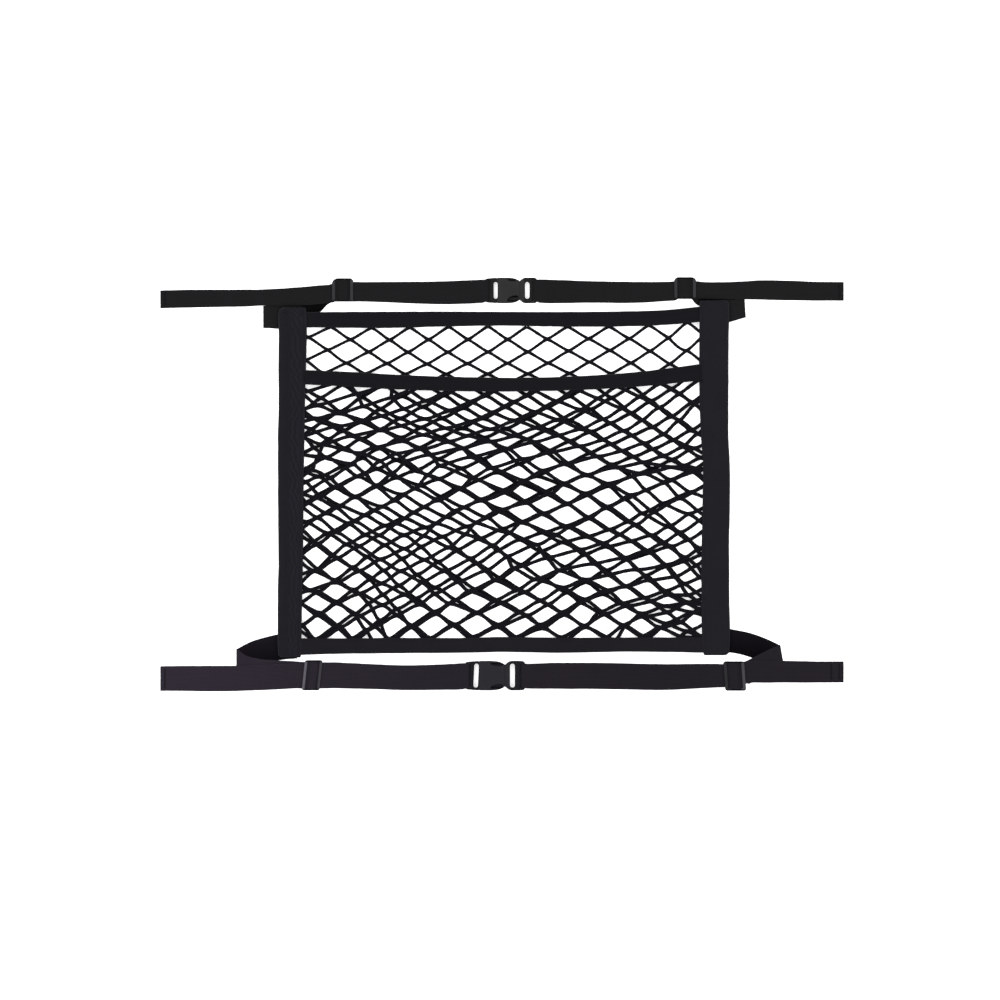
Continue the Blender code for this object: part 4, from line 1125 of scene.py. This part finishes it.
for b in BUCKLES:
    k, tall, wall_ = b.k, b.thick + 2, 1.5
    look = buckle_look if k < 1 else buckle_look_25
    reach = WRAP_R + WEB / 2 - 0.06         # the webbing fills its slot
    low_, high_ = b.bar_z - 0.30 * b.thick, b.bar_z + 0.30 * b.thick
    room = 11.9 * k
    end = k * END_BAR
    half = b.wrap_slot / 2
    cuts = [
        block("top", (-2, -20, high_), (SHOULDER * k, 20, tall)),
        block("under", (-2, -20, -2), (SHOULDER * k, 20, low_)),
        block("wrap", (end + BAR_REACH, -half, -2), (end + reach, half, tall)),
        block("over", (-2, -half, b.bar_z + BAR_H / 2), (end + reach + 0.9, half, tall)),
        block("below", (-2, -half, -2), (end + reach - 0.01, half,
                                         b.bar_z - BAR_H / 2)),
        prism("open", long_hole(b.open_a + 0.25, b.open_b - 0.2, b.open_slot,
                                0.8 if k == 1 else 0.0), -2, tall),
        block("cavity", (17.2 * k, -room, wall_), (42 * k, room, b.thick - wall_)),
    ]
    for way in (-1, 1):
        a, c = sorted((way * (room - 1), way * 17))
        cuts.append(block("side%d" % way, (26.0 * k, a, wall_ + 0.2),
                          (38.0 * k, c, b.thick - wall_ - 0.2)))
        depth = b.window[0] if way > 0 else b.window[1]
        rim_ = 13.2 * k
        arch = [(32.6 * k + 6.9 * k * math.cos(t) + 0.35 * depth * math.sin(t) ** 2,
                 way * (rim_ - (depth - 1.2) * math.sin(t) ** 0.8))
                for t in np.linspace(0, math.pi, 17)]
        cuts.append(prism("window%d" % way, arch, b.thick - wall_ - 0.5, tall))
    socket = carved(b.name + "_socket_half",
                    plate("socket", [(x * k, y * k) for x, y in SOCKET_EDGE], 0,
                          b.thick), [], cuts, b.x, b.y, look)
    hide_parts(b.name + "_socket")

    length = 60.8 * k
    end = length - k * END_BAR
    arm_low, arm_high = wall_ + 0.4, b.thick - wall_ - 0.4
    joins = [block("tongue", (20.5 * k, -2.6 * k, arm_low), (43 * k, 2.6 * k, arm_high))]
    for way in (-1, 1):
        arm = [(43.0, 6.0), (43.0, 9.6), (39.0, 10.6), (35.5, 11.5), (29.0, 11.4),
               (25.5, 10.4), (22.5, 9.2), (22.5, 8.0), (28.5, 8.6), (36.0, 8.3)]
        joins.append(prism("arm%d" % way, [(x * k, way * y * k) for x, y in arm],
                           arm_low, arm_high))
    cuts = [
        block("top", (PLUG_SHOULDER * k, -20, high_), (length + 2, 20, tall)),
        block("under", (PLUG_SHOULDER * k, -20, -2), (length + 2, 20, low_)),
        block("wrap", (end - reach, -half, -2), (end - BAR_REACH, half, tall)),
        block("over", (end - reach - 0.9, -half, b.bar_z + BAR_H / 2),
              (length + 2, half, tall)),
        block("below", (end - reach + 0.01, -half, -2),
              (length + 2, half, b.bar_z - BAR_H / 2)),
        prism("open", long_hole(b.plug_a + 0.2, b.plug_b - 0.25, b.open_slot), -2,
              tall),
    ]
    plug = carved(b.name + "_plug_half",
                  plate("plug", [(x * k, y * k) for x, y in PLUG_EDGE], 0.1,
                        b.thick - 0.05), joins, cuts, b.x, b.y, look)
    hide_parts(b.name + "_plug")


# ---------------------------------------------------------------------- straps
# A row of a strap: place along it, its two edges, the height of its middle,
# how far the upper edge runs ahead of the lower one, and how much painted shade it has
# there.
Row = namedtuple("Row", "x high low z skew dim", defaults=(0.0, 0.0))


def rows_of(*items):
    return [Row(*item) for item in items]


def slopes(xs, vs):
    """Slopes for a curve through the points that never overshoots them."""
    n = len(xs)
    d = [(vs[k + 1] - vs[k]) / (xs[k + 1] - xs[k]) for k in range(n - 1)]
    m = [d[0]] + [0.0] * (n - 2) + [d[-1]]
    for k in range(1, n - 1):
        if d[k - 1] * d[k] > 0:
            m[k] = 2 * d[k - 1] * d[k] / (d[k - 1] + d[k])
    return m


def half_turn(a, b, way, count=7):
    """Half a turn from row a to row b, which lies over or under it."""
    half = (b.z - a.z) / 2
    out = []
    for k in range(1, count):
        angle = math.pi * k / count
        t = k / count
        out.append(Row(a.x + way * abs(half) * math.sin(angle),
                       a.high + (b.high - a.high) * t, a.low + (b.low - a.low) * t,
                       (a.z + b.z) / 2 - half * math.cos(angle),
                       a.skew + (b.skew - a.skew) * t,
                       a.dim + (b.dim - a.dim) * smooth(0.3, 0.7, t)))
    return out


def over_bar(slider, layer, way, edges, steep=-1):
    """Webbing under a slider's outer bar, over its middle bar and under the
    other outer bar, towards +X or -X, and as broad as the slot between them.
    edges are its upper edge on the left and right, and its lower edge there;
    on the steep side (-1 left, 1 right) it stays low beside the outer bar."""
    left, right, low_left, low_right = edges
    outer = 0.155 * slider.length
    middle, out = 0.125 * slider.length, slider.length / 2 - outer
    base = F + LAYER * layer
    angle = math.radians(slider.turn)
    skew = -math.tan(angle) * (left - low_left)
    room = slider.slot / 2 + 0.03 - SELVEDGE
    edge = slider.length / 2 + 0.8
    leave, gone = ((out - 0.5, out + 0.35 * outer) if layer else (out - 3.2, edge))
    result = []
    for reach in (-edge, -out - 0.6 * outer, -out - 0.1, 0.2 - out, 1.9 - out,
                  -middle - 1.0, -0.8 * middle, 0.0, 0.8 * middle, middle + 1.0,
                  out - 1.9, out - 0.2, out + 0.1, out + 0.6 * outer, edge):
        place = way * reach
        if place * steep > 0:
            start, stop = middle, out - 1.9
        else:
            start, stop = middle - 0.3, out + 0.4
        t = clamp((abs(reach) - start) / (stop - start))
        up = 0.5 + 0.5 * math.cos(math.pi * t)
        u = 0.5 + place / (2 * edge)
        high_ = left + (right - left) * u
        low_ = low_left + (low_right - low_left) * u
        full = 1 - smooth(leave, gone, abs(reach))
        middle_y = slider.y + slider.shift
        high_ += (middle_y + room - high_) * full
        low_ += (middle_y - room - low_) * full
        result.append(Row(slider.x + place, high_, low_, base + RISE * up, skew))
    return result


def webbing(name, stations, look, seed):
    """Webbing with rounded selvedges, through the rows of its table."""
    points = np.array([[r.x + r.skew / 2, r.high, r.x - r.skew / 2, r.low, r.z]
                       for r in stations])
    centre = np.stack([(points[:, 0] + points[:, 2]) / 2,
                       (points[:, 1] + points[:, 3]) / 2, points[:, 4]], 1)
    chord = np.concatenate([[0], np.cumsum(np.maximum(
        0.05, np.linalg.norm(np.diff(centre, axis=0), axis=1)))])
    fine, place = [], []
    ms = []
    for c in range(5):
        if c == 4:
            ms.append(np.array(slopes(list(chord), list(points[:, 4]))))
        else:
            m = np.zeros(len(chord))
            m[1:-1] = (points[2:, c] - points[:-2, c]) / (chord[2:] - chord[:-2])
            m[0] = (points[1, c] - points[0, c]) / (chord[1] - chord[0])
            m[-1] = (points[-1, c] - points[-2, c]) / (chord[-1] - chord[-2])
            ms.append(m)
    for k in range(len(chord) - 1):
        h = chord[k + 1] - chord[k]
        steps = max(1, int(math.ceil(h / 2.2)))
        if h > 0.6:
            steps = max(2, steps)
        for j in range(steps):
            t = j / steps
            fine.append([(2 * t ** 3 - 3 * t ** 2 + 1) * points[k, c]
                         + (t ** 3 - 2 * t ** 2 + t) * h * ms[c][k]
                         + (3 * t ** 2 - 2 * t ** 3) * points[k + 1, c]
                         + (t ** 3 - t ** 2) * h * ms[c][k + 1] for c in range(5)])
            place.append(chord[k] + t * h)
    fine.append(points[-1])
    place.append(chord[-1])
    fine = np.array(fine)
    dims = np.interp(place, chord, [r.dim for r in stations])
    a = np.stack([fine[:, 0], fine[:, 1], fine[:, 4]], 1)
    b = np.stack([fine[:, 2], fine[:, 3], fine[:, 4]], 1)
    mid = (a + b) / 2
    walked = np.concatenate([[0], np.cumsum(np.linalg.norm(np.diff(mid, axis=0),
                                                           axis=1))])
    tangent = np.gradient(mid, axis=0)
    tangent /= np.linalg.norm(tangent, axis=1)[:, None]
    rings, across, marks, shade = [], [], [], []
    for i, (p, q) in enumerate(zip(a, b)):
        s = walked[i]
        wide = np.linalg.norm(p - q)
        side = (p - q) / wide
        up = np.cross(tangent[i], side)
        up /= np.linalg.norm(up)
        hw = wide / 2 + SELVEDGE
        wobble = 0.06 * ripple(seed, s, 25.0)
        wobble2 = 0.06 * ripple(seed + 1, s, 25.0)
        cup = 0.05 * ripple(seed + 2, s, 31.0)
        upper = [(-hw, 0.0), (-hw + 0.08, 0.24), (-hw + 0.30, 0.40), (-hw + 0.8, 0.49),
                 (-hw + 1.35, 0.50), (-hw + 1.8, 0.445)]
        upper += [(f * hw, 0.455 + 0.035 * (1 - f * f))
                  for f in (-0.66, -0.4, -0.15, 0.15, 0.4, 0.66)]
        upper += [(-x, z) for x, z in upper[5::-1]]
        loop = upper + [(x, -z) for x, z in reversed(upper[1:-1])]
        ring = []
        for x, z in loop:
            bend = cup * (1 - (x / hw) ** 2)
            edge = wobble if x > 0 else wobble2
            ring.append(mid[i] + side * (x + edge * (x / hw) ** 2 * (1 if x > 0 else -1))
                        + up * (z + bend))
        rings.append(ring)
        u = [x + hw for x, _ in loop]
        across.append(u + u[:1])
        marks.append([min(1.0, (hw - abs(x)) / 2.4) for x, _ in loop])
        # painted shade from the rows' dim values, deeper towards one selvedge than the
        # other
        shade.append([dims[i] * (0.75 - 0.25 * x / hw) for x, _ in loop])
    rings = np.array(rings)
    verts, faces, uv = sweep_parts(rings, np.array(across), walked)
    marks = np.array(marks)
    ends = np.minimum(walked, walked[-1] - walked)[:, None] / 2.5
    marks = np.minimum(marks, ends + 0.05)
    thing = skin(name, verts, faces, uv, look, rim=marks.clip(0, 1), dim=shade)
    width = float(np.mean(np.linalg.norm(a - b, axis=1))) + 2 * SELVEDGE
    return thing, width, float(walked[-1])


def whole_strap(name, slider, slider_edges, sewn, fold, back, inner, buckle,
                buckle_side, neck, tail, look, seed, steep=-1,
                under_edges=None):
    """sewn: from under the band out to the fold; back: from the fold to the
    slider; inner: from the slider to the buckle; tail: to the free end."""
    towards = -fold
    half = buckle.wrap_slot / 2 + 0.02 - SELVEDGE
    length = 60.8 * buckle.k
    bar_x = buckle.x + (buckle.k * END_BAR if buckle_side == "socket"
                        else length - buckle.k * END_BAR)
    hi, lo = buckle.y + half, buckle.y - half
    at_bar = [Row(bar_x, hi, lo, buckle.bar_z - WRAP_R, 0.0),
              Row(bar_x, hi, lo, buckle.bar_z + WRAP_R, 0.0)]
    near = Row(bar_x - towards * 4.4, neck[0], neck[1], at_bar[0].z, 0.0)
    under = over_bar(slider, 0, towards, under_edges or slider_edges, steep)
    above = over_bar(slider, 1, towards, slider_edges, steep)
    stations = list(sewn) + half_turn(sewn[-1], back[0], fold, 5) + list(back)
    stations += under + inner + [near, at_bar[0]]
    stations += half_turn(at_bar[0], at_bar[1], towards) + [at_bar[1]]
    upper = [Row(r.x, r.high, r.low, r.z + LAYER, r.skew) for r in inner]
    stations += [near._replace(z=at_bar[1].z)] + upper[::-1] + above[::-1] + tail
    thing, width, run_ = webbing(name, stations, look, seed)
    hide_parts(name.replace("webbing", "strap"))
    return thing


slider = {s.name: s for s in SLIDERS}
buckle = {b.name: b for b in BUCKLES}

strap_ul = whole_strap(
    "webbing_upper_left", slider["slider_upper_left"], (203.6, 205.8, 185.6, 186.6),
    sewn=rows_of((-204.0, 182.0, 160.5, UP), (-226.0, 181.8, 159.0, UP),
                 (-242.6, 181.4, 159.6, UP)),
    fold=-1,
    back=rows_of((-242.6, 181.4, 159.6, F), (-228.0, 184.0, 162.4, F, 0.0, 0.15),
                 (-205.0, 189.6, 168.0, F, 0.0, 0.6),
                 (-191.0, 196.0, 172.4, F, 0.0, 0.85),
                 (-184.6, 199.4, 176.8, F, 0.0, 0.8),
                 (-178.6, 202.2, 183.0, F, 0.0, 0.5)),
    inner=rows_of((-144.8, 205.6, 186.7, F), (-114.2, 205.8, 185.7, F),
                  (-68.3, 206.2, 183.9, F), (-37.7, 207.3, 184.3, F)),
    buckle=buckle["buckle_upper"], buckle_side="socket", neck=(207.9, 185.3),
    tail=rows_of((-177.0, 202.9, 185.4, UP + 0.1), (-186.0, 202.2, 184.0, UP + 0.8),
                 (-206.0, 200.4, 182.4, 3.5), (-244.0, 198.0, 182.4, 3.5),
                 (-262.0, 197.9, 181.5, 2.6), (-290.0, 197.9, 181.0, F),
                 (-320.0, 197.8, 180.4, F), (-348.7, 197.1, 179.7, F)),
    look=upper_look, seed=71)

strap_ur = whole_strap(
    "webbing_upper_right", slider["slider_upper_right"], (206.3, 206.4, 187.6, 189.6),
    sewn=rows_of((206.0, 186.6, 163.0, UP), (229.0, 187.2, 165.0, UP),
                 (247.1, 188.4, 170.0, UP, -1.2)),
    fold=1,
    back=rows_of((247.1, 188.4, 170.0, F, -1.2),
                 (232.0, 192.0, 174.2, F, 0.0, 0.2),
                 (216.0, 197.0, 177.2, F, 0.0, 0.7),
                 (207.0, 200.6, 179.6, F, 0.0, 0.8),
                 (201.6, 203.4, 182.2, F, 0.0, 0.6)),
    inner=rows_of((166.3, 205.8, 187.0, F), (135.7, 205.8, 185.2, F),
                  (90.0, 206.6, 185.4, F), (55.0, 207.8, 184.9, F)),
    buckle=buckle["buckle_upper"], buckle_side="plug", neck=(208.2, 185.3),
    tail=rows_of((203.6, 205.8, 189.4, UP + 0.6), (216.0, 205.4, 189.0, 3.5),
                 (248.0, 206.3, 188.8, 3.5), (264.0, 207.4, 188.5, 2.4),
                 (290.0, 207.2, 187.9, F), (320.0, 206.0, 187.5, F),
                 (348.7, 205.7, 187.5, F)),
    look=upper_look, seed=79, steep=1,
    under_edges=(206.3, 204.2, 187.6, 183.4))

strap_ll = whole_strap(
    "webbing_lower_left", slider["slider_lower_left"], (-182.0, -182.4, -208.2, -208.2),
    sewn=rows_of((-209.0, -153.9, -177.6, F, 0.0, 0.8),
                 (-228.0, -153.9, -179.4, F, 0.0, 0.8),
                 (-249.0, -158.8, -185.4, F, 0.0, 0.9),
                 (-261.0, -163.5, -189.6, F, 0.0, 1.0),
                 (-270.0, -168.6, -193.6, F, 0.0, 1.0)),
    fold=-1,
    back=rows_of((-270.0, -168.6, -193.6, UP), (-262.0, -175.0, -199.4, UP),
                 (-247.0, -179.0, -204.8, UP), (-232.0, -180.2, -206.8, UP),
                 (-212.0, -181.4, -207.6, F + 0.5)),
    inner=rows_of((-170.0, -182.4, -208.0, F), (-129.5, -184.3, -208.9, F),
                  (-98.9, -185.4, -209.8, F), (-60.0, -184.4, -209.6, F)),
    buckle=buckle["buckle_lower"], buckle_side="socket", neck=(-183.2, -208.9),
    tail=rows_of((-212.0, -182.4, -208.2, F + 0.5 + LAYER),
                 (-232.0, -184.2, -209.2, UP + LAYER),
                 (-271.0, -185.8, -210.8, UP + LAYER), (-284.0, -185.9, -211.0, 2.2),
                 (-302.0, -186.0, -211.1, F), (-325.0, -186.0, -210.8, F),
                 (-348.7, -186.4, -210.7, F)),
    look=lower_look, seed=83)

strap_lr = whole_strap(
    "webbing_lower_right", slider["slider_lower_right"], (-184.2, -181.6, -207.0, -202.8),
    sewn=rows_of((210.0, -147.2, -170.8, F, 0.0, 0.7),
                 (232.6, -148.4, -171.6, F, 0.0, 0.7),
                 (251.0, -151.9, -175.6, F, 0.0, 0.85),
                 (268.0, -157.6, -182.0, F, 0.0, 1.0),
                 (285.0, -164.6, -188.8, F, -4.0, 1.0)),
    fold=1,
    back=rows_of((285.0, -164.6, -188.8, UP, -4.0), (270.0, -170.4, -195.0, UP),
                 (258.0, -176.6, -200.6, F + 0.9), (252.0, -179.6, -203.6, F + 0.3)),
    inner=rows_of((214.2, -183.8, -207.4, F), (166.3, -184.2, -209.7, F),
                  (105.0, -183.0, -208.8, F), (52.0, -182.9, -208.5, F)),
    buckle=buckle["buckle_lower"], buckle_side="plug", neck=(-183.8, -208.1),
    tail=rows_of((252.0, -180.9, -202.4, F + 0.3 + LAYER),
                 (258.0, -180.8, -202.2, F + 0.9 + LAYER),
                 (270.0, -180.8, -202.3, UP + LAYER),
                 (286.0, -180.7, -202.0, UP + LAYER), (300.0, -181.0, -202.2, 2.0),
                 (318.0, -181.4, -202.3, F), (348.7, -181.4, -202.1, F)),
    look=lower_look, seed=89, steep=1)


def tack_on(strap, name, *boxes):
    """Close zigzag stitching on a strap: (a, b, width, height, seed)."""
    stitches = []
    for a, b, width, z, seed in boxes:
        stitches += bar_tack(a, b, width, z, seed)
    seam(name, stitches, dark_thread_look, 0.22)


TAIL_TOP = F + WEB / 2 + 0.05
tack_on(strap_lr, "tack_tail_lower_right",
        ((336.0, -183.6), (336.0, -200.0), 2.4, TAIL_TOP, 5),
        ((344.0, -183.6), (344.0, -200.0), 2.4, TAIL_TOP, 6))
tack_on(strap_ll, "tack_tail_lower_left",
        ((-344.0, -188.4), (-344.0, -208.6), 2.4, TAIL_TOP, 7))
tack_on(strap_ul, "tack_tail_upper_left",
        ((-344.0, 195.4), (-344.0, 181.6), 2.2, TAIL_TOP, 8))
tack_on(strap_ur, "tack_tail_upper_right",
        ((344.0, 204.0), (344.0, 189.4), 2.2, TAIL_TOP, 9))


# ------------------------------------------------------- floor, light, camera
def floor_finish():
    f = Finish("pale_floor")
    cloud = f.noise(1.4, 3.0, 0.5)
    grain = f.noise(900.0, 2.0, 0.6)
    f.feed(f.shader.inputs["Base Color"],
           f.shades(cloud, (0.3, (0.83, 0.83, 0.83)), (0.7, (0.86, 0.86, 0.86))))
    f.feed(f.shader.inputs["Roughness"], f.span(grain, 0.3, 0.7, 0.85, 0.95))
    f.shader.inputs["Specular IOR Level"].default_value = 0.1
    f.shader.inputs["Emission Color"].default_value = (1.0, 1.0, 1.0, 1.0)
    f.shader.inputs["Emission Strength"].default_value = 0.42
    f.bumps((grain, 0.02))
    return f.made


sheet_of_floor = bpy.data.meshes.new("floor")
sheet_of_floor.from_pydata([(x, y, -0.00012) for x, y in
                            ((-7, -7), (7, -7), (7, 7), (-7, 7))], [],
                           [(0, 1, 2, 3)])
sheet_of_floor.materials.append(floor_finish())
floor = bpy.data.objects.new("floor", sheet_of_floor)
bpy.context.scene.collection.objects.link(floor)

world = bpy.data.worlds.new("studio")
bpy.context.scene.world = world
world.use_nodes = True
sky = world.node_tree.nodes
link = world.node_tree.links.new
up = sky.new("ShaderNodeSeparateXYZ")        # soft light, brightest overhead
link(sky.new("ShaderNodeTexCoord").outputs["Generated"], up.inputs[0])
fall = sky.new("ShaderNodeMapRange")
fall.interpolation_type = 'SMOOTHSTEP'
for key, number in (("From Min", 0.15), ("From Max", 1.0), ("To Min", 0.42),
                    ("To Max", 1.9)):
    fall.inputs[key].default_value = number
link(up.outputs[2], fall.inputs["Value"])
link(fall.outputs["Result"], sky["Background"].inputs["Strength"])
sky["Background"].inputs["Color"].default_value = (1.0, 1.0, 1.0, 1.0)

Lamp = namedtuple("Lamp", "name x y z size power")
LAMPS = [                                    # metres and watts
    Lamp("key", -1.5, 1.9, 3.4, 2.2, 90.0),
    Lamp("fill_right", 2.2, 1.0, 3.2, 2.2, 40.0),
    Lamp("fill_front", -1.2, -2.2, 3.2, 2.2, 35.0),
    Lamp("fill_low", 1.6, -1.8, 3.2, 2.2, 35.0),
]
for lamp in LAMPS:
    light = bpy.data.lights.new(lamp.name, 'AREA')
    light.shape = 'SQUARE'
    light.size = lamp.size
    light.energy = lamp.power
    thing = bpy.data.objects.new(lamp.name, light)
    thing.location = (lamp.x, lamp.y, lamp.z)
    aim = -thing.location
    thing.rotation_mode = 'QUATERNION'
    thing.rotation_quaternion = aim.to_track_quat('-Z', 'Y')
    bpy.context.scene.collection.objects.link(thing)

camera = bpy.data.cameras.new("camera")
camera.lens = 200.0
camera.sensor_width = 36.0
camera.clip_start = 0.05
camera.clip_end = 60.0
eye = bpy.data.objects.new("camera", camera)
WIDTH_SEEN = 1.020                           # across the picture, at the panel
eye.location = (-0.00204, -0.01632, WIDTH_SEEN * camera.lens / camera.sensor_width
                + 0.003)
eye.rotation_euler = (0.0, 0.0, 0.0)
bpy.context.scene.collection.objects.link(eye)
bpy.context.scene.camera = eye
bpy.context.scene.view_settings.view_transform = 'Standard'

bpy.context.view_layer.update()
